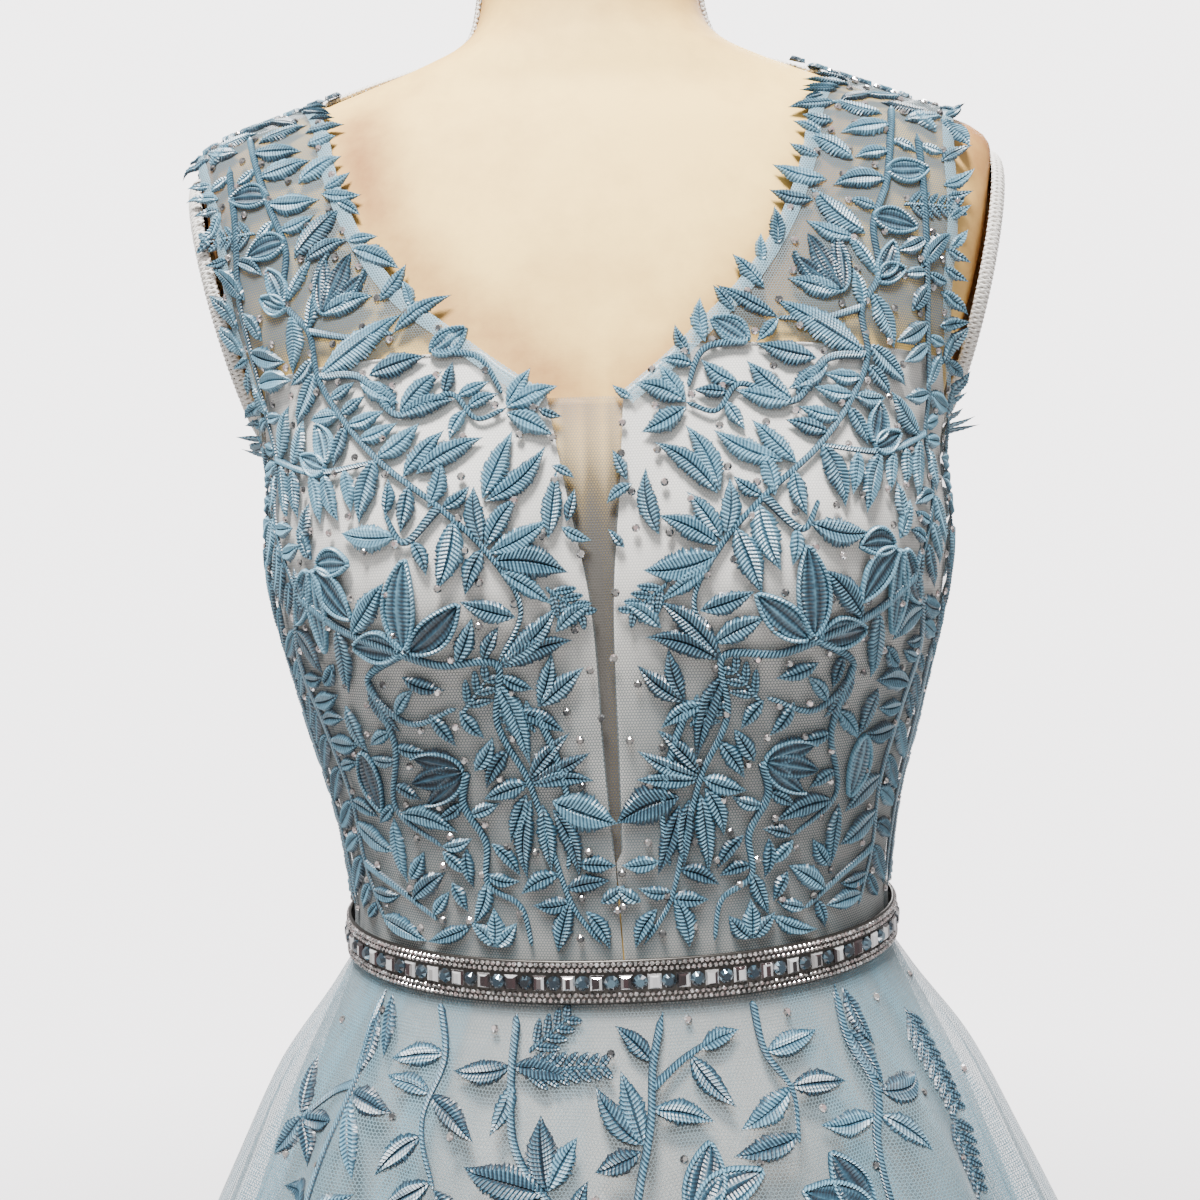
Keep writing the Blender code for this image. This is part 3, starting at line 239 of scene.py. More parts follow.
SKIRT_LEAVES = [
    (-43, 36, 248, 19, 7, LEAF), (-30, 73, 96, 26, 11, LEAF), (-30, 73, 60, 21, 9, LEAF),
    (-30, 74, 160, 30, 13, LEAF), (-30, 76, 196, 20, 9, LEAF), (-30, 78, 228, 21, 9, LEAF),
    (-20, 85, 75, 17, 6, LEAF), (27, 27, 20, 17, 7, LEAF), (9, 30, 137, 19, 7, LEAF),
    (4, 56, 132, 25, 9, LEAF), (4, 56, 107, 25, 9, LEAF), (3, 58, 205, 18, 8, LEAF),
    (20, 83, 72, 26, 14, PETAL), (20, 83, 33, 29, 12, PETAL), (20, 84, 356, 27, 14, PETAL),
    (84, 88, 122, 26, 13, PETAL), (84, 88, 154, 31, 13, PETAL), (84, 90, 190, 27, 13, PETAL),
    (92, 14, 290, 24, 8, LEAF), (89, 28, 293, 23, 10, LEAF), (95, 50, 358, 25, 10, LEAF),
    (93, 58, 317, 23, 8, LEAF), (-102, 13, 276, 22, 7, LEAF), (-108, 20, 258, 26, 9, LEAF),
    (-111, 48, 350, 21, 9, LEAF), (-111, 50, 290, 27, 8, LEAF), (-138, 64, 95, 21, 9, LEAF),
    (-138, 64, 235, 21, 9, LEAF), (-138, 64, 290, 18, 8, LEAF), (-138, 64, 10, 17, 8, LEAF),
    (-118, 90, 30, 20, 8, LEAF), (92, 92, 330, 22, 9, LEAF), (-40, 150, 40, 26, 12, PETAL),
    (-40, 150, 100, 26, 12, PETAL), (-40, 150, 160, 26, 12, PETAL), (48, 150, 60, 26, 12, PETAL),
    (48, 150, 120, 26, 12, PETAL), (48, 150, 200, 24, 11, PETAL),
]
SKIRT_FERNS = [(-41, 33, 4, 32), (-38, 26, 38, 20), (126, 30, 285, 40), (134, 70, 280, 30)]

# Steps of the charts, the stitching's ribs and the cloth's triangles
LEVEL_STEP = 0.0025
DROP_STEP = 0.005
QUARTER = 96
RIB_STEP = 0.00070
HIDDEN_RIB_STEP = 0.00095
SHEET_STEP = 0.0045


def smooth_rows(table, where):
    """Columns of a table, read smoothly at places of its first column."""
    rows = np.array(table, dtype=float)
    keys = rows[:, 0]
    values = rows[:, 1:]
    slopes = np.gradient(values, keys, axis=0)
    where = np.clip(np.asarray(where, dtype=float), keys[0], keys[-1])
    low = np.clip(np.searchsorted(keys, where, side="right") - 1, 0, len(keys) - 2)
    span = (keys[low + 1] - keys[low])[:, None]
    s = (where - keys[low])[:, None] / span
    a = 2 * s**3 - 3 * s**2 + 1
    b = s**3 - 2 * s**2 + s
    c = -2 * s**3 + 3 * s**2
    d = s**3 - s**2
    return a * values[low] + b * span * slopes[low] + c * values[low + 1] + d * span * slopes[low + 1]


def soft_step(low, high, value):
    s = np.clip((value - low) / (high - low), 0.0, 1.0)
    return s * s * (3 - 2 * s)


def unit(vectors):
    """The same directions at length 1."""
    return vectors / np.linalg.norm(vectors, axis=-1, keepdims=True)


def run_along(line):
    """Distance along a line at each of its points."""
    return np.concatenate([[0.0], np.cumsum(np.linalg.norm(np.diff(line, axis=0), axis=1))])


def read_line(line, run, at):
    """Columns of a line read at distances along it."""
    return np.stack([np.interp(at, run, column) for column in line.T], axis=1)


def read_grid(table, level, column):
    """Values between the rows and columns of a table."""
    i = level.astype(int)
    j = column.astype(int)
    fi = (level - i)[:, None]
    fj = (column - j)[:, None]
    low = table[i, j] * (1 - fj) + table[i, j + 1] * fj
    high = table[i + 1, j] * (1 - fj) + table[i + 1, j + 1] * fj
    return low * (1 - fi) + high * fi


def sideways(line):
    """Unit directions along a chart line and to its left."""
    ahead = unit(np.gradient(line, axis=0))
    return ahead, np.column_stack([-ahead[:, 1], ahead[:, 0]])


def oval(angle, half_width, front, back, square):
    """Point of a squared oval; angle 0 is the centre front, pi the back."""
    power = 2.0 / square
    side = np.sin(angle)
    along = np.cos(angle)
    x = half_width * np.sign(side) * np.abs(side) ** power
    y = -np.sign(along) * np.where(along > 0, front, back) * np.abs(along) ** power
    return x, y


def waist_dip(angle, over_waist):
    """How far the waist seam sags at the front."""
    return FRONT_DIP * 0.5 * (1 + np.cos(angle)) * np.exp(-((over_waist / 0.10) ** 2))


def form_half_ring(row):
    """Half ring of the form from centre front to centre back, x positive."""
    rise, half_width, front, back, square = row
    angle = np.linspace(0.0, math.pi, 321)
    x, y = oval(angle, half_width, front, back, square)
    full = np.exp(-(((x - BUST_X) / BUST_WIDE) ** 2) - ((rise - BUST_Z) / BUST_TALL) ** 2)
    y = y - BUST_FULL * full * np.clip(np.cos(angle) * 4, 0, 1)
    trim = PLATE_FOOT_X + PLATE_LEAN * (rise - PLATE_FOOT_Z)
    over = x - trim
    flat = trim + 0.5 * (over - np.sqrt(over**2 + 4 * PLATE_SOFT**2))
    reach = soft_step(0.180, 0.240, rise) * soft_step(0.05, 0.10, x)
    x = x + (flat - x) * reach
    return np.stack([x, y, WAIST_Z + rise - waist_dip(angle, rise)], axis=1)


def spread_evenly(line, count):
    """Points at even distances along a line, and the line's length."""
    run = run_along(line)
    return read_line(line, run, np.linspace(0.0, run[-1], count + 1)), run[-1]


def grid_normals(grid, mirrored=False):
    """Outward normals of a grid whose rows climb and columns run round."""
    if mirrored:
        flip = np.array([-1.0, 1.0, 1.0])
        wide = np.concatenate([grid[:, 1:2] * flip, grid, grid[:, -2:-1] * flip], axis=1)
        across = wide[:, 2:] - wide[:, :-2]
    else:
        across = np.gradient(grid, axis=1)
    return unit(np.cross(across, np.gradient(grid, axis=0)))


class Form:
    """Surface of the dress form, read by girth and height."""

    def __init__(self):
        self.levels = np.arange(FORM_BOTTOM, NECK_TOP + 0.5 * LEVEL_STEP, LEVEL_STEP)
        self.rows = smooth_rows(FORM_ROWS, self.levels)
        grid = []
        runs = []
        for row in self.rows:
            ring = form_half_ring(row)
            middle = len(ring) // 2
            front, run_front = spread_evenly(ring[:middle + 1], QUARTER)
            back, run_back = spread_evenly(ring[middle:], QUARTER)
            grid.append(np.concatenate([front, back[1:]]))
            runs.append((run_front, run_back))
        self.grid = np.array(grid)
        self.runs = np.array(runs)
        self.normals = grid_normals(self.grid, mirrored=True)

    def run(self, along, back):
        return np.interp(along, self.levels, self.runs[:, 1 if back else 0])

    def at(self, across, along, offset, back=False):
        """Points by girth distance from the centre line, side distance and offset."""
        across = np.asarray(across, dtype=float)
        along = np.asarray(along, dtype=float)
        column = np.abs(across) / self.run(along, back) * QUARTER
        if back:
            column = 2 * QUARTER - column
        return self.read(column, along, offset, np.where(across < 0, -1.0, 1.0))

    def read(self, column, along, offset, hand):
        """Points by grid column and side distance; a hand of -1 mirrors them."""
        level = np.clip((along - self.levels[0]) / LEVEL_STEP, 0, len(self.levels) - 1.0001)
        column = np.clip(column, 0, 2 * QUARTER - 0.0001)
        normal = unit(read_grid(self.normals, level, column))
        points = read_grid(self.grid, level, column)
        points = points + normal * np.broadcast_to(offset, along.shape)[:, None]
        points[:, 0] *= hand
        return points

    def chart(self, pairs, back=False):
        """Girth and side distances of places given by half width and height."""
        out = []
        for x, rise in pairs:
            along = float(np.interp(rise, self.rows[:, 0], self.levels))
            i = int(round((along - self.levels[0]) / LEVEL_STEP))
            quarter = self.grid[i, :QUARTER + 1] if not back else self.grid[i, :QUARTER - 1:-1]
            share = float(np.interp(x, quarter[:, 0], np.linspace(0, 1, QUARTER + 1)))
            out.append((share * float(self.run(along, back)), along))
        return out

    def ridge(self, x):
        """Side distance at which the shoulder line is x from the middle."""
        top = self.levels > 0.355
        return float(np.interp(-x, -self.grid[top, QUARTER, 0], self.levels[top]))


class Skirt:
    """Surface of the skirt layers, read by girth distance and drop."""

    COLUMNS = 360

    def __init__(self):
        self.drops = np.arange(0.0, HEM_DROP + 0.002, DROP_STEP)
        self.rows = smooth_rows(SKIRT_ROWS, self.drops)
        angle = np.linspace(0.0, math.pi, 721)
        grid = []
        self.half_run = []
        for drop, row in zip(self.drops, self.rows):
            half_width, front, back, square = row[:4]
            x, y = oval(angle, half_width, front, back, square)
            deep = np.where(np.cos(angle) > 0, front, back)
            nx = x / half_width**2
            ny = y / deep**2
            size = np.hypot(nx, ny)
            z = WAIST_Z - drop - waist_dip(angle, -drop)
            line = np.column_stack([x, y, z, nx / size, ny / size, angle])
            run = run_along(line[:, :2])
            grid.append(read_line(line, run, np.linspace(0.0, run[-1], self.COLUMNS + 1)))
            self.half_run.append(run[-1])
        self.grid = np.array(grid)
        self.half_run = np.array(self.half_run)
        reach = SKIRT_ROWS[-1][2] + SKIRT_ROWS[-1][6], SKIRT_ROWS[-1][3] + SKIRT_ROWS[-1][6]
        tip = SKIRT_ROWS[-1][7] * 0.9
        self.pull = [HEM_REACH / (r + tip) for r in reach]

    def run(self, drop):
        return np.interp(drop, self.drops, self.half_run)

    def at(self, across, drop, layer, offset=0.0):
        """Points of a layer (0 slip, 1 tulle, 2 overlay) by girth distance and drop."""
        across = np.asarray(across, dtype=float)
        drop = np.clip(np.asarray(drop, dtype=float), 0.0, HEM_DROP)
        column = np.clip(np.abs(across) / self.run(drop), 0, 1) * (self.COLUMNS - 0.001)
        level = np.clip(drop / DROP_STEP, 0, len(self.drops) - 1.001)
        value = read_grid(self.grid, level, column)
        hand = np.where(across < 0, -1.0, 1.0)
        angle = value[:, 5] * hand
        sizes = smooth_rows(SKIRT_ROWS, drop)
        spread = (LINING_OUT * np.ones(len(drop)), sizes[:, 4], sizes[:, 5])[layer]
        fold = sizes[:, 6]
        if layer == 2:
            spread = spread + fold * fold_wave(angle) + crease(angle, drop, OVERLAY_CREASES)
        elif layer == 1:
            spread = spread + crease(angle, drop, TULLE_CREASES)
        out = spread + offset
        x = (value[:, 0] + value[:, 3] * out) * hand
        y = value[:, 1] + value[:, 4] * out
        if layer == 2:
            share = (drop / HEM_DROP) ** 2
            y = y * (1 + (np.where(y < 0, self.pull[0], self.pull[1]) - 1) * share)
        return np.column_stack([x, y, value[:, 2]])


# Creases of the skirt layers: degrees from the centre front, first drop, last
# drop, height and half width in millimetres; they are alike on the two sides
OVERLAY_CREASES = [
    (9, 60, 420, 2.0, 9), (21, 14, 260, 2.2, 8), (30, 20, 520, 3.0, 12), (39, 10, 200, 2.0, 7),
    (47, 30, 640, 3.5, 14), (58, 12, 330, 2.4, 9), (67, 20, 700, 3.0, 13), (79, 12, 300, 2.5, 9),
    (91, 24, 620, 3.2, 13), (103, 12, 280, 2.2, 9), (116, 20, 560, 3.0, 12), (128, 14, 360, 2.6, 10),
    (141, 20, 680, 3.2, 13), (153, 12, 240, 2.2, 8), (166, 24, 500, 2.8, 11),
]
TULLE_CREASES = [
    (16, 30, 500, 1.6, 12), (34, 16, 300, 1.4, 8), (52, 20, 620, 1.8, 14), (73, 16, 360, 1.6, 10),
    (97, 24, 640, 1.8, 14), (122, 16, 420, 1.6, 11), (147, 24, 600, 1.8, 13), (169, 20, 380, 1.5, 10),
]


def fold_wave(angle):
    """Soft uneven folds round the skirt, alike on the two sides."""
    a = np.abs((angle + math.pi) % (2 * math.pi) - math.pi)
    phase = FOLDS * (a + 0.050 * np.sin(3 * a) + 0.030 * np.sin(7 * a))
    size = 0.74 + 0.16 * np.cos(2 * a) + 0.10 * np.cos(7 * a)
    return size * np.cos(phase)


def crease(angle, drop, table):
    """Soft narrow ridges that fade in and out down the cloth."""
    a = np.degrees(np.abs(angle))
    out = np.zeros(len(a))
    radius = 0.125 + 0.30 * drop
    for degrees, first, last, height, half in table:
        away = np.radians(a - degrees) * radius / (half / 1000)
        fade = soft_step(first / 1000, first / 1000 + 0.05, drop)
        fade = fade * (1 - soft_step(0.6 * last / 1000, last / 1000, drop))
        out += height / 1000 * fade * np.exp(-away**2)
    return out


class Build:
    """Points, faces, chart places and tones gathered into one piece."""

    def __init__(self):
        self.points = []
        self.faces = []
        self.uvs = []
        self.tones = []
        self.count = 0

    def add(self, points, faces, uv=None, tone=0.5, flip=False):
        points = np.asarray(points, dtype=float)
        self.points.append(points)
        self.uvs.append(np.zeros((len(points), 2)) if uv is None else np.asarray(uv))
        self.tones.append(np.full(len(points), 1.0) * tone)
        for face in np.asarray(faces).tolist():
            moved = [v + self.count for v in face]
            self.faces.append(moved[::-1] if flip else moved)
        self.count += len(points)

    def add_grid(self, grid, uv=None, tone=0.5, flip=False, closed=False):
        """Rows and columns of points, joined by square faces."""
        self.add(grid.reshape(-1, 3), grid_faces(*grid.shape[:2], closed), uv, tone, flip)

    def make(self, name, material, smooth=True, replaces=(), slot=None):
        points = np.concatenate(self.points)
        mesh = bpy.data.meshes.new(name)
        mesh.from_pydata(points.tolist(), [], self.faces)
        mesh.validate()
        uv = np.concatenate(self.uvs)
        layer = mesh.uv_layers.new(name="cloth")
        corner = np.empty(len(mesh.loops), dtype=np.int32)
        mesh.loops.foreach_get("vertex_index", corner)
        layer.data.foreach_set("uv", uv[corner].astype(np.float32).ravel())
        tone = mesh.attributes.new("tone", "FLOAT", "POINT")
        tone.data.foreach_set("value", np.concatenate(self.tones).astype(np.float32))
        mesh.polygons.foreach_set("use_smooth", [smooth] * len(mesh.polygons))
        mesh.materials.append(material)
        mesh.update()
        piece = bpy.data.objects.new(name, mesh)
        bpy.context.scene.collection.objects.link(piece)
        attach(piece, "root")
        if replaces:
            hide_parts(*replaces)
        return piece


def grid_faces(rows, columns, closed=False):
    r = np.arange(rows - 1)[:, None] * columns
    c = np.arange(columns if closed else columns - 1)[None, :]
    a = r + c
    b = r + (c + 1) % columns
    return np.stack([a, b, b + columns, a + columns], axis=-1).reshape(-1, 4)


def smooth_line(points, step):
    """A soft curve through points, cut into even steps."""
    points = np.array(points, dtype=float)
    run = run_along(points)
    count = max(2, int(math.ceil(run[-1] / step)))
    return smooth_rows(np.column_stack([run, points]), np.linspace(0, run[-1], count + 1))


def in_polygon(points, polygon):
    ax, ay = polygon.T
    bx, by = np.roll(polygon, -1, axis=0).T
    x = points[:, :1]
    y = points[:, 1:2]
    slope = (bx - ax) / np.where(by == ay, 1.0, by - ay)
    hit = ((ay > y) != (by > y)) & (x < slope * (y - ay) + ax)
    return hit.sum(axis=1) % 2 == 1


def polygon_area(polygon):
    x, y = polygon[:, 0], polygon[:, 1]
    return 0.5 * abs(np.dot(x, np.roll(y, -1)) - np.dot(y, np.roll(x, -1)))


def joined(*lines):
    """Lines joined head to tail without doubled points."""
    out = []
    for line in lines:
        for point in line:
            point = (float(point[0]), float(point[1]))
            if not out or math.dist(out[-1], point) > 0.0006:
                out.append(point)
    if math.dist(out[0], out[-1]) < 0.0006:
        out.pop()
    return np.array(out)


def neck_skew(rise, hand, back):
    """Shift of a piece's inner cut away from its own side's middle line."""
    if back:
        return -hand * float(np.interp(0.40, *zip(*SKEW_ROWS)) * soft_step(0.22, 0.35, rise))
    return -hand * float(np.interp(rise, *zip(*SKEW_ROWS)))


def arm_skew(rise, hand):
    return -hand * ARM_SKEW * float(soft_step(0.225, 0.27, rise) + soft_step(0.31, 0.352, rise))


def side_line(form, start, end, back, inset, step=0.005):
    """Seam along the side of the form between two side distances."""
    count = max(1, int(round(abs(end - start) / step)))
    return [(float(form.run(t, back)) - inset, float(t)) for t in np.linspace(start, end, count + 1)]


def inner_cut(pairs, hand, back):
    return [(x + neck_skew(z, hand, back), z) for x, z in pairs]


def outer_cut(pairs, hand):
    return [(x + arm_skew(z, hand), z) for x, z in pairs]


def front_centre(hand, low, inset):
    """Centre front seam from the waist to the foot of the insert."""
    rises = np.linspace(low, V_EDGE[0][1], 12)[:-1]
    return [(neck_skew(t, hand, False) + inset, t) for t in rises]


def vee_line(form, hand):
    return smooth_line(form.chart(inner_cut(V_EDGE, hand, False)), 0.004)


def bodice_lines(form, hand, back):
    """Neck line and armhole line of one net panel in the chart."""
    neck, arm = (BACK_NECK, BACK_ARM) if back else (FRONT_NECK, FRONT_ARM)
    top = form.ridge(STRAP_NECK_X + neck_skew(0.38, hand, back))
    tip = form.ridge(STRAP_ARM_X + arm_skew(0.38, hand))
    half = GAP / 2
    edge = form.chart(inner_cut(neck, hand, back), back)
    throat = smooth_line(edge + [(float(form.run(top, back)) - half, top)], 0.004)
    arm_line = smooth_line([(float(form.run(tip, back)) - half, tip)]
                           + form.chart(outer_cut(arm, hand), back)
                           + [(float(form.run(ARMPIT, back)) - half, ARMPIT)], 0.004)
    return throat, arm_line, top, tip


def foot_line(form, start, back):
    """Waist seam from the side seam in to the centre."""
    waist = GAP / 2
    width = float(form.run(waist, back)) - waist
    return [(start + (width - start) * s, waist) for s in np.linspace(1, 0, 30)[1:-1]]


def bodice_outline(form, hand, back):
    """Cut of one net panel in the chart, from the waist centre round."""
    throat, arm_line, top, tip = bodice_lines(form, hand, back)
    waist = GAP / 2
    if back:
        centre = [(GAP, t) for t in np.linspace(waist, BACK_NECK[0][1], 40)]
    else:
        centre = joined(front_centre(hand, waist, GAP), vee_line(form, hand))
    shoulder = side_line(form, top, tip, back, waist)
    side = side_line(form, ARMPIT, waist, back, waist)
    return joined(centre, throat, shoulder, arm_line, side, foot_line(form, centre[0][0], back))


def lining_outline(form, hand, back):
    """Cut of one lining panel, and the line of its top edge."""
    waist = GAP / 2
    side = side_line(form, 0.200, waist, back, waist)
    if back:
        centre = [(0.0056, t) for t in np.linspace(waist, LINING_TOP_BACK, 40)]
        limit = form.run(0.200, True) - waist
        upper = [(u, LINING_TOP_BACK) for u in np.linspace(0.0056, limit - 0.02, 30)]
    else:
        centre = joined(front_centre(hand, waist, GAP), vee_line(form, hand) + np.array([0.0006, 0]))
        neck = form.chart(inner_cut(FRONT_NECK[:5], hand, False))
        neck = smooth_line(neck, 0.005) + np.array([0.0006, -0.001])
        neck = [p for p in neck if p[1] < LINING_TOP_FRONT - 0.003]
        corner = form.chart([(0.145, LINING_TOP_FRONT - 0.004), (0.1475, 0.222)])
        arm = smooth_line(corner + [side[0]], 0.005)
        flat = [(u, LINING_TOP_FRONT) for u in np.linspace(neck[-1][0] + 0.006, arm[0][0] - 0.006, 20)]
        upper = joined(neck, flat, arm)
    return joined(centre, upper, side, foot_line(form, centre[0][0], back)), np.array(upper)


def insert_outline(form):
    """Cut of the sheer insert, which runs a little under the bodice halves."""
    right, left = [[(hand * (p[0] + UNDERLAP), min(p[1], INSERT_TOP))
                    for p in vee_line(form, hand) if p[1] > INSERT_FOOT] for hand in (1, -1)]
    middle = neck_skew(INSERT_FOOT, 1, False)
    low = INSERT_FOOT - INSERT_TAIL
    return joined([(middle - UNDERLAP, low), (middle + UNDERLAP, low)], right, left[::-1])


def declare_cut(outline, pieces=()):
    """Works out the area of a chart outline and keeps nothing."""
    polygon_area(outline)


def net_offset(along):
    """The net lies on the lining below and settles on the form at the straps."""
    s = soft_step(0.246, 0.301, along)
    return NET_ON_LINING * (1 - s) + NET_ON_FORM * s


def sheet_from(outline, place, step=SHEET_STEP):
    """Even triangles over a chart outline: chart places and faces."""
    low = outline.min(axis=0)
    high = outline.max(axis=0)
    xs = np.arange(low[0] + step / 2, high[0], step)
    ys = np.arange(low[1] + step / 2, high[1], step)
    grid = np.array([(x, y) for x in xs for y in ys])
    grid = grid[in_polygon(grid, outline)]
    away = np.min(np.linalg.norm(grid[:, None] - outline[None], axis=2), axis=1)
    grid = grid[away > 0.45 * step]
    points = [Vector(map(float, p)) for p in np.concatenate([outline, grid])]
    count = len(outline)
    edges = [(k, (k + 1) % count) for k in range(count)]
    made = delaunay_2d_cdt(points, edges, [], 0, 2e-5, False)
    flat = np.array([tuple(v) for v in made[0]])
    faces = np.array([tuple(f) for f in made[2]])
    faces = faces[in_polygon(flat[faces].mean(axis=1), outline)]
    return place(flat), faces, flat


# Materials


class Nodes:
    """Short hand for building the nodes of a material or a world."""

    def __init__(self, name, world=False):
        self.owner = (bpy.data.worlds if world else bpy.data.materials).new(name)
        self.owner.use_nodes = True
        self.tree = self.owner.node_tree
        self.shader = self.tree.nodes["Background" if world else "Principled BSDF"]

    def node(self, kind, inputs=(), **settings):
        made = self.tree.nodes.new("ShaderNode" + kind)
        for key, value in settings.items():
            setattr(made, key, value)
        for key, value in dict(inputs).items():
            self.link(value, made.inputs[key])
        return made

    def link(self, value, socket):
        if isinstance(value, bpy.types.NodeSocket):
            self.tree.links.new(value, socket)
        elif isinstance(value, bpy.types.Node):
            self.tree.links.new(value.outputs[0], socket)
        else:
            socket.default_value = value

    def math(self, operation, a, b=0.0, c=0.0):
        return self.node("Math", {0: a, 1: b, 2: c}, operation=operation).outputs[0]

    def vector(self, operation, a, b=(0, 0, 0)):
        made = self.node("VectorMath", {0: a, 1: b}, operation=operation)
        return made.outputs[1 if operation in ("LENGTH", "DOT_PRODUCT") else 0]

    def ramp(self, value, stops):
        made = self.node("ValToRGB", {"Fac": value})
        band = made.color_ramp
        while len(band.elements) > 1:
            band.elements.remove(band.elements[-1])
        band.elements[0].position = stops[0][0]
        band.elements[0].color = (*stops[0][1], 1)
        for place, colour in stops[1:]:
            band.elements.new(place).color = (*colour, 1)
        return made.outputs[0]

    def noise(self, coordinates, scale, detail=3.0, roughness=0.5):
        return self.node("TexNoise", {"Vector": coordinates, "Scale": scale, "Detail": detail,
                                      "Roughness": roughness}).outputs[0]

    def uv(self):
        return self.node("UVMap", uv_map="cloth").outputs[0]

    def place(self):
        return self.node("TexCoord").outputs["Object"]

    def tone(self):
        return self.node("Attribute", attribute_name="tone").outputs["Fac"]

    def mix(self, share, a, b, kind="MIX"):
        made = self.node("Mix", data_type="RGBA", blend_type=kind)
        self.link(share, made.inputs[0])
        self.link(a if not isinstance(a, tuple) else (*a, 1), made.inputs[6])
        self.link(b if not isinstance(b, tuple) else (*b, 1), made.inputs[7])
        return made.outputs[2]

    def bump(self, height, distance, strength=1.0):
        made = self.node("Bump", {"Height": height, "Distance": distance, "Strength": strength})
        self.tree.links.new(made.outputs[0], self.shader.inputs["Normal"])

    def set(self, **values):
        for key, value in values.items():
            socket = self.shader.inputs[key.replace("_", " ")]
            if isinstance(value, tuple):
                value = (*value, 1)
            self.link(value, socket)
        return self.owner


def hex_net(n, pitch, thread):
    """Thread coverage, 0 to 1, of a six-sided net of a given pitch."""
    scaled = n.vector("SCALE", n.uv())
    n.tree.nodes[-1].inputs["Scale"].default_value = 1.0 / pitch
    tall = math.sqrt(3.0)
    size = (1.0, tall, 1.0)
    half = (0.5, tall / 2, 0.0)
    one = n.vector("FRACTION", n.vector("DIVIDE", scaled, size))
    two = n.vector("FRACTION", n.vector("DIVIDE", n.vector("ADD", scaled, half), size))
    offsets = []
    for value in (one, two):
        centred = n.vector("MULTIPLY", n.vector("SUBTRACT", value, (0.5, 0.5, 0.5)), size)
        flat = n.vector("ABSOLUTE", n.vector("MULTIPLY", centred, (1.0, 1.0, 0.0)))
        offsets.append((flat, n.vector("LENGTH", flat)))
    closer = n.math("LESS_THAN", offsets[0][1], offsets[1][1])
    pick = n.node("Mix", data_type="VECTOR")
    n.link(closer, pick.inputs[0])
    n.link(offsets[1][0], pick.inputs[4])
    n.link(offsets[0][0], pick.inputs[5])
    place = pick.outputs[1]
    parts = n.node("SeparateXYZ", {0: place})
    slope = n.vector("DOT_PRODUCT", place, half)
    away = n.math("MAXIMUM", parts.outputs[0], slope)
    ramp = n.node("MapRange", {0: away, 1: 0.5 - 1.6 * thread, 2: 0.5 - 0.6 * thread, 3: 0.0, 4: 1.0})
    return ramp.outputs[0]


def net_material(name, thin, dense, pitch, thread, least, most):
    """Open hexagonal net, from a thin colour to a dense one where its tone rises; on the bodice that tone
    holds painted shade.
    """
    n = Nodes(name)
    cover = hex_net(n, pitch, thread)
    cloud = n.noise(n.place(), 18.0)
    alpha = n.math("MULTIPLY_ADD", cover, most - least, least)
    alpha = n.math("MULTIPLY", alpha, n.math("MULTIPLY_ADD", cloud, 0.30, 0.85))
    alpha = n.math("MULTIPLY", alpha, n.math("MULTIPLY_ADD", n.tone(), 1.3, 0.35))
    tint = n.ramp(n.math("MULTIPLY_ADD", cloud, 0.14, n.tone()), [(0.42, thin), (0.92, dense)])
    n.bump(cover, 0.0002, 0.6)
    return n.set(Base_Color=tint, Roughness=0.62, Alpha=alpha, Sheen_Weight=0.25, Sheen_Roughness=0.4)


def sheer_material(name, colour, pitch, thread):
    """Fine dark mesh, more open where its tone is low."""
    n = Nodes(name)
    cover = hex_net(n, pitch, thread)
    base = n.math("MULTIPLY_ADD", n.tone(), 0.62, 0.18)
    alpha = n.math("ADD", base, n.math("MULTIPLY", cover, n.math("MULTIPLY_ADD", n.tone(), 0.25, 0.18)))
    n.bump(cover, 0.0002, 0.5)
    tint = n.ramp(n.tone(), [(0.15, (0.36, 0.35, 0.32)), (0.55, colour)])
    return n.set(Base_Color=tint, Roughness=0.7, Alpha=alpha)


def thread_material(name, dark, middle, light):
    """Satin stitching: tones that paint shade in the rib valleys and highlights on the crests, fine strands,
    glossy on top.
    """
    n = Nodes(name)
    uv = n.node("SeparateXYZ", {0: n.uv()})
    wave = n.math("SINE", n.math("MULTIPLY", uv.outputs[0], 2 * math.pi / 0.0011))
    strands = n.math("MULTIPLY_ADD", wave, 0.5, 0.5)
    cloud = n.noise(n.place(), 420.0, 2.0)
    mixed = n.math("MULTIPLY_ADD", cloud, 0.34, n.math("MULTIPLY", n.tone(), 0.83))
    colour = n.ramp(mixed, [(0.24, dark), (0.54, middle), (0.90, light)])
    n.bump(n.math("MULTIPLY_ADD", strands, 0.5, cloud), 0.00012, 0.7)
    return n.set(Base_Color=colour, Roughness=0.38, Specular_IOR_Level=0.65, Sheen_Weight=0.15,
                 Sheen_Roughness=0.35)


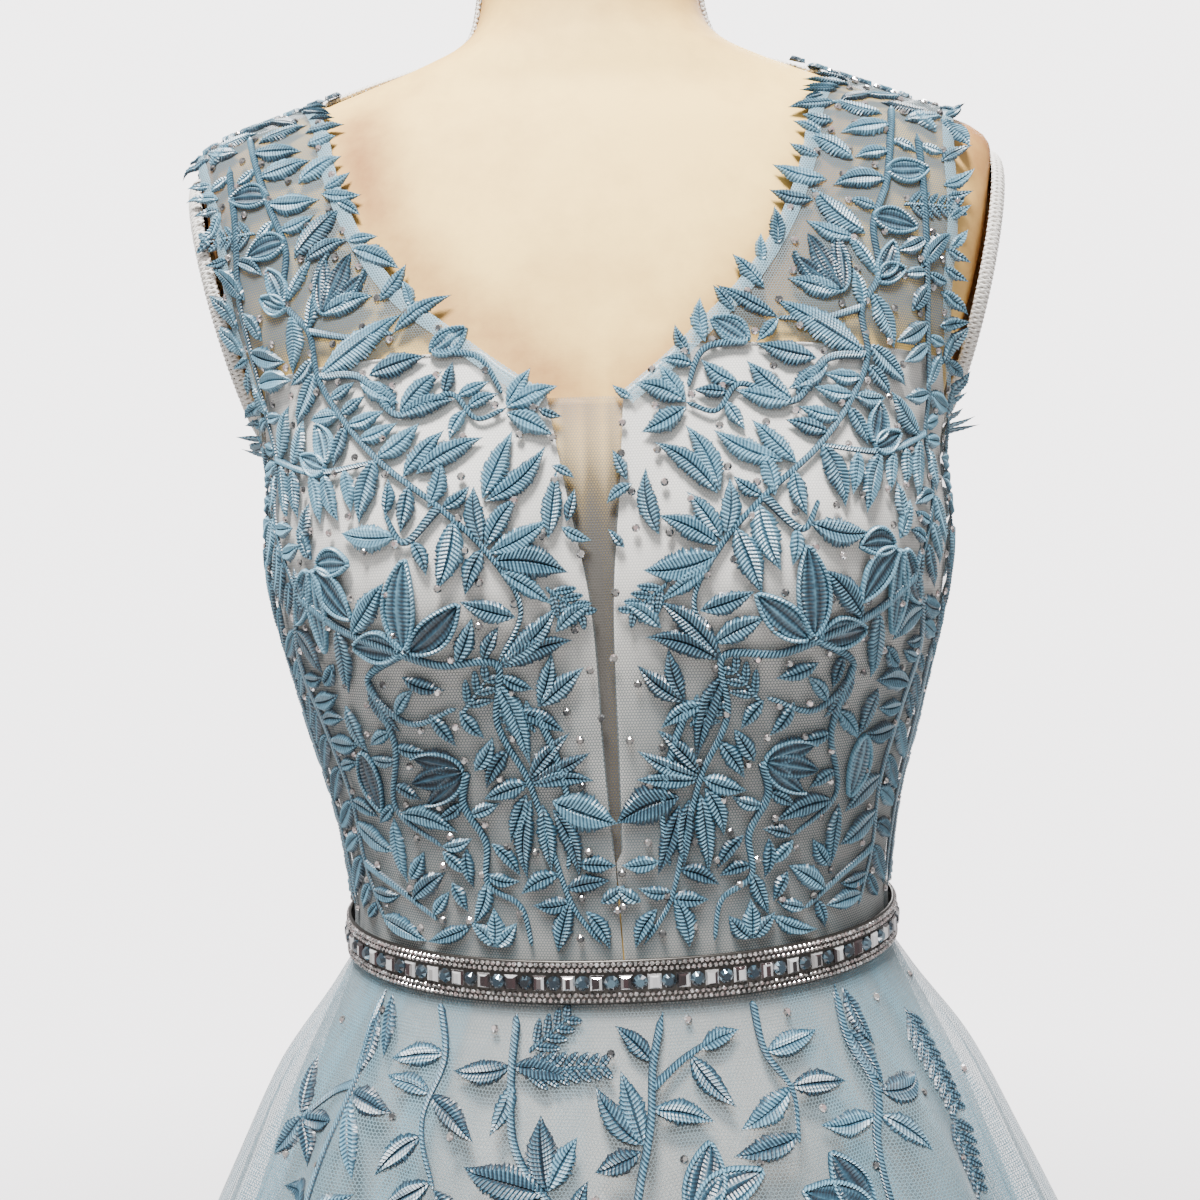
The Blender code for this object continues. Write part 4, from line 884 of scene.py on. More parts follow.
def satin_material(name, colour):
    """Satin with painted shade by height: darkest about the waist and under the bust, grey further down;
    random blotches lift it.
    """
    n = Nodes(name)
    uv = n.uv()
    rise = n.node("SeparateXYZ", {0: n.place()}).outputs[2]
    # Painted shade by height: darkest from just under the waist to under the bust, fading to full colour at
    # the bust, grey further down.
    shade = n.ramp(n.math("SUBTRACT", rise, WAIST_Z - 0.10),
                   [(0.0, (0.80, 0.78, 0.75)), (0.085, (0.56, 0.54, 0.52)), (0.115, (0.50, 0.47, 0.45)),
                    (0.175, (0.58, 0.56, 0.54)), (0.245, (1.0, 1.0, 1.0))])
    weave = n.node("TexWave", {"Vector": uv, "Scale": 900.0, "Distortion": 0.6}, wave_type="BANDS",
                   bands_direction="DIAGONAL").outputs[0]
    cloud = n.noise(n.place(), 9.0, 4.0)
    tint = n.mix(1.0, n.mix(cloud, tuple(0.94 * c for c in colour), colour), shade, "MULTIPLY")
    # Random blotches partly lift the painted shade back towards the full colour, as painted light.
    shade_lifting_patches = n.ramp(n.noise(n.place(), 16.0, 2.0), [(0.50, (0.0, 0.0, 0.0)), (0.66, (1.0, 1.0, 1.0))])
    tint = n.mix(n.math("MULTIPLY", shade_lifting_patches, 0.55), tint, colour)
    n.bump(n.math("MULTIPLY_ADD", cloud, 4.0, n.math("MULTIPLY", weave, 0.15)), 0.0008, 0.4)
    return n.set(Base_Color=tint, Roughness=0.46, Sheen_Weight=0.3, Sheen_Roughness=0.3)


def canvas_material(name, light, dark):
    """Smooth covered form: mottled warm cloth, browner towards its edges where its tone rises; part of that
    tone is painted shade along the neckline.
    """
    n = Nodes(name)
    place = n.place()
    large = n.noise(place, 7.0, 5.0, 0.6)
    small = n.noise(place, 70.0, 6.0, 0.65)
    edge = n.tone()
    share = n.math("MULTIPLY_ADD", large, 0.95, n.math("MULTIPLY_ADD", small, 0.32, -0.25))
    share = n.math("ADD", share, n.math("MULTIPLY", edge, 0.75))
    middle = tuple(0.72 * a + 0.28 * b for a, b in zip(light, dark))
    colour = n.ramp(share, [(0.32, light), (0.50, middle), (0.95, dark)])
    weave = n.node("TexBrick", {"Vector": place, "Scale": 900.0}).outputs[1]
    n.bump(n.math("MULTIPLY_ADD", small, 2.0, n.math("MULTIPLY", weave, 0.1)), 0.0004, 0.3)
    return n.set(Base_Color=colour, Roughness=0.66, Specular_IOR_Level=0.35)


def trim_material(name, colour):
    n = Nodes(name)
    cloud = n.noise(n.place(), 900.0, 2.0)
    tint = n.mix(cloud, tuple(0.72 * c for c in colour), colour)
    n.bump(cloud, 0.0002, 0.5)
    return n.set(Base_Color=tint, Roughness=0.7, Sheen_Weight=0.2)


def gem_material(name, stops):
    """Foil-backed stones: each facet gets its own tone, a painted reflection running from dark to white, and
    fine noise adds painted glints.
    """
    n = Nodes(name)
    colour = n.ramp(n.tone(), stops)
    fine = n.noise(n.place(), 2500.0, 1.0)
    tint = n.mix(n.math("MULTIPLY", fine, 0.05), colour, (0.95, 0.97, 1.0))
    return n.set(Base_Color=tint, Roughness=0.08, Metallic=0.75, Coat_Weight=1.0, Coat_Roughness=0.03)


def metal_material(name, colour, roughness):
    n = Nodes(name)
    brushed = n.noise(n.place(), 180.0, 4.0)
    tint = n.mix(brushed, tuple(0.85 * c for c in colour), colour)
    n.bump(brushed, 0.0001, 0.3)
    return n.set(Base_Color=tint, Roughness=roughness, Metallic=0.95)


# Embroidery

# The shade rows and RIB_SHADE are painted shade and highlights on the stitching: darker in the vein groove,
# at the edges and in the rib valleys, lighter on the raised crests.
LEAF_COLUMNS = np.array([-1.0, -0.64, -0.13, 0.0, 0.13, 0.64, 1.0])
LEAF_LIFT = np.array([0.05, 1.0, 0.78, 0.15, 0.78, 1.0, 0.05])
LEAF_RIB = np.array([0.0, 1.0, 0.8, 0.0, 0.8, 1.0, 0.0])
LEAF_SHADE = np.array([-0.22, 0.10, 0.02, -0.27, 0.02, 0.10, -0.22])
PETAL_COLUMNS = np.array([-1.0, -0.68, -0.34, 0.0, 0.34, 0.68, 1.0])
PETAL_LIFT = np.array([0.1, 0.85, 0.30, 0.90, 0.30, 0.85, 0.1])
PETAL_SHADE = np.array([-0.20, 0.12, -0.28, 0.15, -0.28, 0.12, -0.20])
LEAF_RAISE = 0.0015
RIB_RAISE = 0.00026
RIB_SHADE = 0.33
RAGGED = 0.11
CORD_COLUMNS = np.array([-1.0, -0.72, 0.0, 0.72, 1.0])
CORD_LIFT = np.array([0.0, 0.72, 1.0, 0.72, 0.0])
CORD_SHADE = np.array([-0.25, 0.0, 0.15, 0.0, -0.25])


def leaf_profile(s, blunt=1.15):
    """Share of a leaf's half width along its length."""
    s = np.clip(s, 0, 1)
    return np.sin(math.pi * s**0.85) ** blunt


def odd_rows(count):
    return (np.arange(count) % 2 * 2 - 1)[:, None]


def heading(degrees):
    angle = math.radians(degrees)
    ahead = np.array([math.cos(angle), math.sin(angle)])
    return ahead, np.array([-ahead[1], ahead[0]])


class Stitching:
    """Stitched motifs gathered on one cloth."""

    def __init__(self, place, flip, step=RIB_STEP):
        self.build = Build()
        self.place = place
        self.flip = flip
        self.step = step
        self.random = np.random.default_rng(17)

    def patch(self, flat, lift, uv, tone):
        points = self.place(flat.reshape(-1, 2), lift.ravel())
        self.build.add_grid(points.reshape(*lift.shape, 3), uv.reshape(-1, 2),
                            np.clip(tone, 0, 1).ravel(), self.flip)

    def leaf(self, foot, degrees, length, width, bend=0.0, tone=0.5, raise_by=1.0, petal=False, blunt=1.15):
        """A leaf with a split vein and slanted ribs, or a petal with long veins."""
        columns = PETAL_COLUMNS if petal else LEAF_COLUMNS
        lift_by = PETAL_LIFT if petal else LEAF_LIFT
        shade = PETAL_SHADE if petal else LEAF_SHADE
        rib = 0.5 if petal else 1.0
        rows = max(8, int(length / self.step))
        s, v = np.meshgrid(np.linspace(0, 1, rows + 1), columns, indexing="ij")
        odd = odd_rows(rows + 1)
        slanted = s + (0.0 if petal else 0.8) * np.abs(v) * width / length * s * (1 - s)
        half = 0.5 * width * leaf_profile(slanted, blunt)
        ragged = self.random.uniform(-RAGGED, RAGGED, (rows + 1, 2))[:, (columns > 0).astype(int)]
        side = v * half * (1 + (0.07 * odd + ragged) * (np.abs(v) > 0.7))
        side = side + bend * length * 4 * slanted * (1 - slanted)
        ahead, beside = heading(degrees)
        flat = np.asarray(foot) + slanted[..., None] * length * ahead + side[..., None] * beside
        slim = np.clip(half / 0.0022, 0.15, 1.0)
        ribs = LEAF_RIB[None, :] * odd
        lift = LEAF_RAISE * raise_by * lift_by[None, :] * slim + RIB_RAISE * rib * ribs * slim
        uv = np.stack([v * half, s * length], axis=-1) + np.asarray(foot) * 7
        self.patch(flat, lift, uv, tone + shade[None, :] + RIB_SHADE * rib * ribs)

    def cord(self, line, half, tone=0.5, raise_by=0.0012, ends=(1.0, 0.5)):
        """A corded stem along a chart line, with slanted ribs."""
        run = run_along(line)
        rows = max(6, int(run[-1] / self.step))
        at = np.linspace(0, run[-1], rows + 1)
        middle = read_line(line, run, at)
        ahead, beside = sideways(middle)
        share = np.linspace(0, 1, rows + 1)
        tips = np.clip(np.minimum(share, 1 - share) * 40, 0.2, 1)
        wide = half * (ends[0] + (ends[1] - ends[0]) * share) * tips
        v = CORD_COLUMNS[None, :]
        odd = odd_rows(rows + 1)
        flat = middle[:, None] + beside[:, None] * (wide[:, None] * v)[..., None]
        flat = flat + ahead[:, None] * (0.6 * wide[:, None] * v)[..., None]
        lift = raise_by * (wide / half)[:, None] * CORD_LIFT[None, :] + RIB_RAISE * odd * (np.abs(v) < 0.9)
        uv = np.stack([v * wide[:, None], at[:, None] * np.ones_like(v)], axis=-1)
        self.patch(flat, lift, uv, tone + CORD_SHADE[None, :] + RIB_SHADE * odd * (np.abs(v) < 0.9))

    def stems(self, lines, half, tone, raise_by):
        for line in lines:
            self.cord(smooth_line(line, 0.0012), half, tone, raise_by)

    def petal(self, foot, degrees, length, width, bend, tone):
        """A petal with long veins inside a light corded outline."""
        self.leaf(foot, degrees, length, width, bend, tone - 0.06, 0.8, petal=True, blunt=0.80)
        ahead, beside = heading(degrees)
        s = np.linspace(0, 1, 40)
        half = 0.5 * width * leaf_profile(s, 0.80)
        for hand in (1, -1):
            side = hand * half + bend * length * 4 * s * (1 - s)
            line = np.asarray(foot) + (s * length)[:, None] * ahead + side[:, None] * beside
            self.cord(line, 0.0009, tone + 0.22, 0.0018, (1.0, 0.9))

    def tulip(self, foot, degrees, length, width, tone):
        """A cup of three pointed lobes within a corded edge."""
        for turn, size, wide in ((26, 0.92, 0.52), (-26, 0.92, 0.52), (0, 1.0, 0.56)):
            self.leaf(foot, degrees + turn, length * size, width * wide, 0.04 * np.sign(turn), tone - 0.1,
                      0.9 if turn else 1.1, petal=True, blunt=0.85)
        ahead, beside = heading(degrees)
        s = np.linspace(0, 1, 30)
        for hand in (1, -1):
            side = hand * 0.5 * width * np.sin(math.pi * s**0.7 * 0.62) ** 0.8
            line = np.asarray(foot) + (s * length * 0.86)[:, None] * ahead + side[:, None] * beside
            self.cord(line, 0.0008, tone + 0.15, 0.0017, (1.0, 0.9))

    def fern(self, foot, degrees, length, tone):
        """A feathery sprig: a thin stem with pairs of slim leaflets."""
        ahead = heading(degrees)[0]
        tip = np.asarray(foot) + ahead * length
        self.cord(np.array([foot, tip]), 0.0009, tone, 0.0010)
        pairs = max(3, int(length / 0.0043))
        for k in range(pairs):
            at = np.asarray(foot) + ahead * length * (k + 0.6) / pairs
            size = 0.0100 * (1 - 0.45 * k / pairs)
            for turn in (42, -42):
                self.leaf(at, degrees + turn, size, 0.0034, 0.0, tone, 0.85, blunt=0.6)

    def motif(self, foot, degrees, length, width, form, bend, tone):
        if form == PETAL:
            self.petal(foot, degrees, length, width, bend, tone)
        elif form == TULIP:
            self.tulip(foot, degrees, length, width, tone)
        else:
            self.leaf(foot, degrees, length, width, bend, tone)


class Layout:
    """Leaves kept clear of each other, held as discs along their veins."""

    STATIONS = np.array([0.12, 0.32, 0.52, 0.72, 0.92])

    def __init__(self, inside):
        self.discs = np.zeros((0, 3))
        self.cords = np.zeros((0, 3))
        self.inside = inside
        self.leaves = []

    def discs_of(self, foot, degrees, length, width):
        middle = np.asarray(foot) + self.STATIONS[:, None] * length * heading(degrees)[0]
        return np.column_stack([middle, 0.5 * width * leaf_profile(self.STATIONS)])

    def add_cord(self, line, half):
        self.cords = np.concatenate([self.cords, np.column_stack([line, np.full(len(line), half)])])

    def add(self, foot, degrees, length, width, form=LEAF):
        self.discs = np.concatenate([self.discs, self.discs_of(foot, degrees, length, width)])
        self.leaves.append((tuple(foot), degrees, length, width, form))

    def blocked(self):
        return np.concatenate([self.discs, self.cords])

    def free(self, discs, margin, inner=4):
        if not self.inside(discs[:inner, :2]).all():
            return False
        for others, first in ((self.discs, 0), (self.cords, 1)):
            if len(others):
                mine = discs[first:]
                away = np.linalg.norm(mine[:, None, :2] - others[None, :, :2], axis=2)
                if (away < mine[:, None, 2] + others[None, :, 2] + margin).any():
                    return False
        return True

    def grow(self, line, spacing, lengths, margin=0.0003, slim=0.40):
        """Adds leaves along both sides of a stem wherever there is room."""
        run = run_along(line)
        ahead = np.gradient(line, axis=0)
        bearing = np.degrees(np.arctan2(ahead[:, 1], ahead[:, 0]))
        for k, at in enumerate(np.arange(spacing, run[-1] + spacing, spacing)):
            i = min(len(line) - 1, int(np.searchsorted(run, at)))
            for side in (1, -1) if k % 2 else (-1, 1):
                for length, turn in product(lengths, (48, 34, 64, 80, 20)):
                    leaf = (line[i], bearing[i] + side * turn, length, length * slim)
                    if self.free(self.discs_of(*leaf), margin):
                        self.add(*leaf)
                        break

    def fringe(self, line, spacing, lengths, random):
        """Adds pointed leaves along a cut edge, their tips past it."""
        run = run_along(line)
        beside = sideways(line)[1]
        for at in np.arange(0.4 * spacing, run[-1], spacing):
            at += random.uniform(-0.4, 0.4) * spacing
            i = min(len(line) - 1, int(np.searchsorted(run, at)))
            base = math.degrees(math.atan2(beside[i, 1], beside[i, 0]))
            for turn in random.permutation([-62, -40, -18, 10, 34, 58]):
                length = float(random.choice(lengths))
                degrees = base + turn + random.uniform(-8, 8)
                leaf = (line[i] - 0.55 * length * heading(degrees)[0], degrees, length, 0.38 * length)
                if self.free(self.discs_of(*leaf), -0.0006, 2):
                    self.add(*leaf)
                    break


def motif_places(pairs, hand, back):
    """Places of the stitching in metres, shifted with the askew cloth."""
    out = []
    for x, z in pairs:
        rise = z / 1000
        shift = 0.5 * neck_skew(rise, hand, back) + 0.5 * arm_skew(rise, hand)
        out.append((x / 1000 + shift, rise))
    return out


# Stones


GEM_TABLE = 0.55
GEM_GIRDLE = 0.35


def gem_mesh(sides):
    """Points and faces of a cut stone of radius 1 and height 1."""
    angle = np.linspace(0, 2 * math.pi, sides, endpoint=False)
    points = []
    for radius, height, turn in ((1.0, 0.0, 0.0), (1.0, GEM_GIRDLE, 0.0), (GEM_TABLE, 1.0, math.pi / sides)):
        points += [(radius * math.cos(a + turn), radius * math.sin(a + turn), height) for a in angle]
    faces = []
    for k in range(sides):
        after = (k + 1) % sides
        faces.append((k, after, sides + after, sides + k))
        faces.append((sides + k, sides + after, 2 * sides + k))
        faces.append((sides + after, 2 * sides + after, 2 * sides + k))
    faces.append(tuple(range(2 * sides, 3 * sides)))
    return np.array(points), faces


def add_gems(build, frames, radius, height, tones, sides=8):
    """Stones set on frames; every facet has its own points, so its own tone, a painted reflection."""
    centres, rights, ups = frames
    shape, faces = gem_mesh(sides)
    out = np.cross(rights, ups)
    points = (centres[:, None] + shape[None, :, :1] * rights[:, None] * radius
              + shape[None, :, 1:2] * ups[:, None] * radius + shape[None, :, 2:] * out[:, None] * height)
    for size, low, high in ((4, -0.42, 0.42), (3, -0.42, 0.42), (sides, -0.12, 0.25)):
        group = np.array([face for face in faces if len(face) == size])
        corners = points[:, group].reshape(-1, 3)
        count = len(centres) * len(group)
        tone = np.repeat(tones, len(group)) + RANDOM.uniform(low, high, count)
        build.add(corners, np.arange(count * size).reshape(count, size), None,
                  np.repeat(np.clip(tone, 0, 1), size))


def squared(right, up):
    """Unit right vectors, and unit up vectors square to them."""
    right = unit(right)
    return right, unit(up - right * np.sum(up * right, axis=1)[:, None])


def frames_of(place, spots, offset, flip=False):
    """Centre, right and up vectors of chart spots on a surface."""
    step = 0.0006
    lift = np.full(len(spots), offset)
    centre = place(spots, lift)
    right, up = squared(place(spots + np.array([step, 0]), lift) - centre,
                        place(spots + np.array([0, step]), lift) - centre)
    return centre, -right if flip else right, up


def make_stones(name, frames, random, material):
    """Small stones scattered over the cloth."""
    build = Build()
    add_gems(build, frames, 0.0017, 0.0013, random.uniform(0.2, 0.7, len(frames[0])))
    return build.make(name, material, smooth=False, slot="belt_rhinestones")


def scatter(outline, spacing, blocked, seed, tries):
    """Spots inside an outline that keep apart and off the discs given."""
    random = np.random.default_rng(seed)
    low = outline.min(axis=0)
    high = outline.max(axis=0)
    spots = np.zeros((0, 2))
    candidates = random.uniform(low, high, (tries, 2))
    for candidate in candidates[in_polygon(candidates, outline)]:
        if len(spots) and np.linalg.norm(spots - candidate, axis=1).min() < spacing:
            continue
        if len(blocked) and (np.linalg.norm(blocked[:, :2] - candidate, axis=1) < blocked[:, 2]).any():
            continue
        spots = np.concatenate([spots, candidate[None]])
    return spots


# Pieces


def turned(profile, segments=96):
    """Rings of a turned shape from its radii and heights."""
    angle = np.linspace(0, 2 * math.pi, segments, endpoint=False)
    return np.array([np.column_stack([r * np.cos(angle), r * np.sin(angle), np.full(segments, z)])
                     for r, z in profile])


def tube(build, path, normals, radius, sides, tone=0.5):
    """Round cord along a path in space."""
    ahead = unit(np.gradient(path, axis=0))
    beside = unit(np.cross(ahead, normals))
    over = np.cross(beside, ahead)
    angle = np.linspace(0, 2 * math.pi, sides, endpoint=False)
    ring = beside[:, None] * np.cos(angle)[None, :, None] + over[:, None] * np.sin(angle)[None, :, None]
    build.add_grid(path[:, None] + radius * ring, tone=tone, flip=True, closed=True)


BRAID_WIDTH = 0.0085
BRAID_PITCH = 0.0064
BRAID_STEP = 0.0008
BRAID_CORD = 0.0008


def braid(build, path, normals):
    """Gimp braid: three looping cords woven over a narrow tape."""
    run = run_along(path)
    at = np.linspace(0, run[-1], max(8, int(run[-1] / BRAID_STEP)) + 1)
    middle = read_line(path, run, at)
    normal = unit(read_line(normals, run, at))
    beside = unit(np.cross(np.gradient(middle, axis=0), normal))
    for phase in (0.0, 1 / 3, 2 / 3):
        turn = 2 * math.pi * (at / BRAID_PITCH + phase)
        side = 0.41 * BRAID_WIDTH * np.sin(turn)
        lift = 0.0013 + 0.0007 * np.cos(2 * turn)
        tube(build, middle + beside * side[:, None] + normal * lift[:, None], normal, BRAID_CORD, 5)
    build.add_grid(np.stack([middle + beside * s * 0.4 * BRAID_WIDTH + normal * h
                             for s, h in ((-1, 0.0001), (-0.9, 0.0007), (0.9, 0.0007), (1, 0.0001))], axis=1))


def make_form(form, canvas):
    """Covered torso, browner at its plates, seams and up the neck, with painted shade along the neckline."""
    build = Build()
    levels = np.arange(FORM_BOTTOM, NECK_TOP - 0.0006, 0.0075)
    share = np.linspace(0, 2 * QUARTER, 73)
    rings = []
    tones = []
    neckline = smooth_line(FRONT_NECK, 0.005)
    for level in levels:
        right = form.read(share, np.full(73, level), 0.0, np.ones(73))
        left = (right * np.array([-1.0, 1.0, 1.0]))[-2:0:-1]
        ring = np.concatenate([right, left])
        rings.append(ring)
        plate = soft_step(0.130, 0.185, np.abs(ring[:, 0])) * soft_step(0.20, 0.30, level)
        seam = np.exp(-((np.abs(ring[:, 1] - 0.004) / 0.026) ** 2)) * soft_step(0.33, 0.40, level)
        spots = np.column_stack([np.abs(ring[:, 0]), ring[:, 2] - WAIST_Z])
        away = np.linalg.norm(spots[:, None] - neckline[None], axis=2).min(axis=1)
        # Painted shade on the form along the bodice's neckline.
        neckline_shade = np.exp(-((away / 0.016) ** 2)) * (ring[:, 1] < 0)
        throat = soft_step(0.43, 0.50, level)
        tones.append(np.clip(0.75 * plate + 0.6 * seam + 0.62 * neckline_shade + 0.22 * throat, 0, 1))
    rings[0][:, 2] = WAIST_Z + FORM_BOTTOM
    rings[-1][:, 2] = rings[-1][:, 2].mean()
    inward = np.array([0.02, 0.02, 1.0])
    plain = np.zeros(len(rings[0]))
    build.add_grid(np.array([rings[0] * inward, *rings, rings[-1] * inward]),
                   tone=np.concatenate([plain, *tones, plain]), closed=True)
    build.make("dress_form", canvas, replaces=["form_torso"], slot="form_canvas")


def make_cap(trim):
    build = Build()
    top = WAIST_Z + 0.460
    cap = [(0.001, top + GAP), (0.0500, top + GAP), (0.0515, top + 0.0015), (0.0522, top + 0.005),
           (0.0510, top + 0.010), (0.0470, top + 0.0145), (0.040, top + 0.018), (0.028, top + 0.022),
           (0.014, top + 0.0245), (0.001, top + 0.025)]
    build.add_grid(turned(cap), closed=True)
    build.make("neck_cap_turned", trim, replaces=["neck_cap"], slot="form_trim")


def make_stand(metal):
    """Pole and round base under the form."""
    build = Build()
    collar = 0.022 + 0.040
    bottom = WAIST_Z + FORM_BOTTOM - GAP
    pole = [(0.0145, collar - 0.010), (0.0145, bottom - 0.014), (0.0165, bottom - 0.012),
            (0.030, bottom - 0.011), (0.030, bottom)]
    build.add_grid(turned(pole, 64), closed=True)
    base = [(0.186, 0.0), (0.189, 0.001), (0.190, 0.004), (0.190, 0.014), (0.188, 0.018), (0.180, 0.0215),
            (0.120, 0.0225), (0.050, 0.0240), (0.034, 0.027), (0.029, 0.034), (0.0225, 0.058),
            (0.0205, 0.062), (0.0145, 0.0622)]
    build.add_grid(turned(base), closed=True)
    build.add_grid(turned([(0.001, 0.0002), (0.186, 0.0)]), closed=True)
    build.make("stand", metal, replaces=["stand_pole", "stand_base"], slot="stand_metal")


def plate_frame():
    lean = math.atan(PLATE_LEAN)
    out = np.array([math.cos(lean), 0.0, -math.sin(lean)])
    up = np.array([math.sin(lean), 0.0, math.cos(lean)])
    centre_x = PLATE_FOOT_X + PLATE_LEAN * (PLATE_Z - PLATE_FOOT_Z)
    return np.array([centre_x, 0.003, WAIST_Z + PLATE_Z]) + out * GAP, out, up


def make_trims(form, canvas, trim):
    """Arm plates, and the braid round them and along the shoulder seams."""
    centre, out, up = plate_frame()
    angle = np.linspace(0, 2 * math.pi, 97)[:-1]
    for name, hand in (("left", -1), ("right", 1)):
        mirror = np.array([hand, 1.0, 1.0])
        rings = []
        for size, rise in ((0.995, 0.0), (1.0, 0.0020), (0.97, 0.0034), (0.90, 0.0036), (0.60, 0.0044),
                           (0.3, 0.0048), (0.01, 0.0050)):
            across = PLATE_HALF_DEEP * size * np.cos(angle)
            along = PLATE_HALF_TALL * size * np.sin(angle)
            rings.append((centre + out * rise + np.outer(across, [0, 1, 0]) + np.outer(along, up)) * mirror)
        build = Build()
        tone = np.repeat([0.9, 0.9, 0.8, 0.6, 0.3, 0.2, 0.2], len(angle))
        build.add_grid(np.array(rings), tone=tone, flip=hand < 0, closed=True)
        build.make("arm_plate_cover_" + name, canvas, replaces=["arm_plate_" + name], slot="form_trim")
        build = Build()
        turn = np.linspace(0, 2 * math.pi, 200)
        rim = (centre + out * 0.0020 + np.outer(PLATE_HALF_DEEP * 0.995 * np.cos(turn), [0, 1, 0])
               + np.outer(PLATE_HALF_TALL * 0.995 * np.sin(turn), up)) * mirror
        facing = out * 0.45 + np.outer(np.cos(turn), [0, 0.9, 0]) + np.outer(np.sin(turn), 0.9 * up)
        braid(build, rim, facing * mirror)
        top = form.ridge(STRAP_NECK_X + neck_skew(0.38, hand, False)) - 0.02
        along = np.linspace(top, NECK_TOP - 0.002, 120)
        forward = 0.004 + 0.018 * (1 - soft_step(0.43, 0.51, along))
        column = QUARTER * (1 - forward / form.run(along, False))
        low = form.read(column, along, 0.0002, np.full(120, float(hand)))
        high = form.read(column, along, 0.0012, np.full(120, float(hand)))
        braid(build, low, (high - low) / 0.001)
        build.make("form_braid_" + name, trim, slot="form_trim")


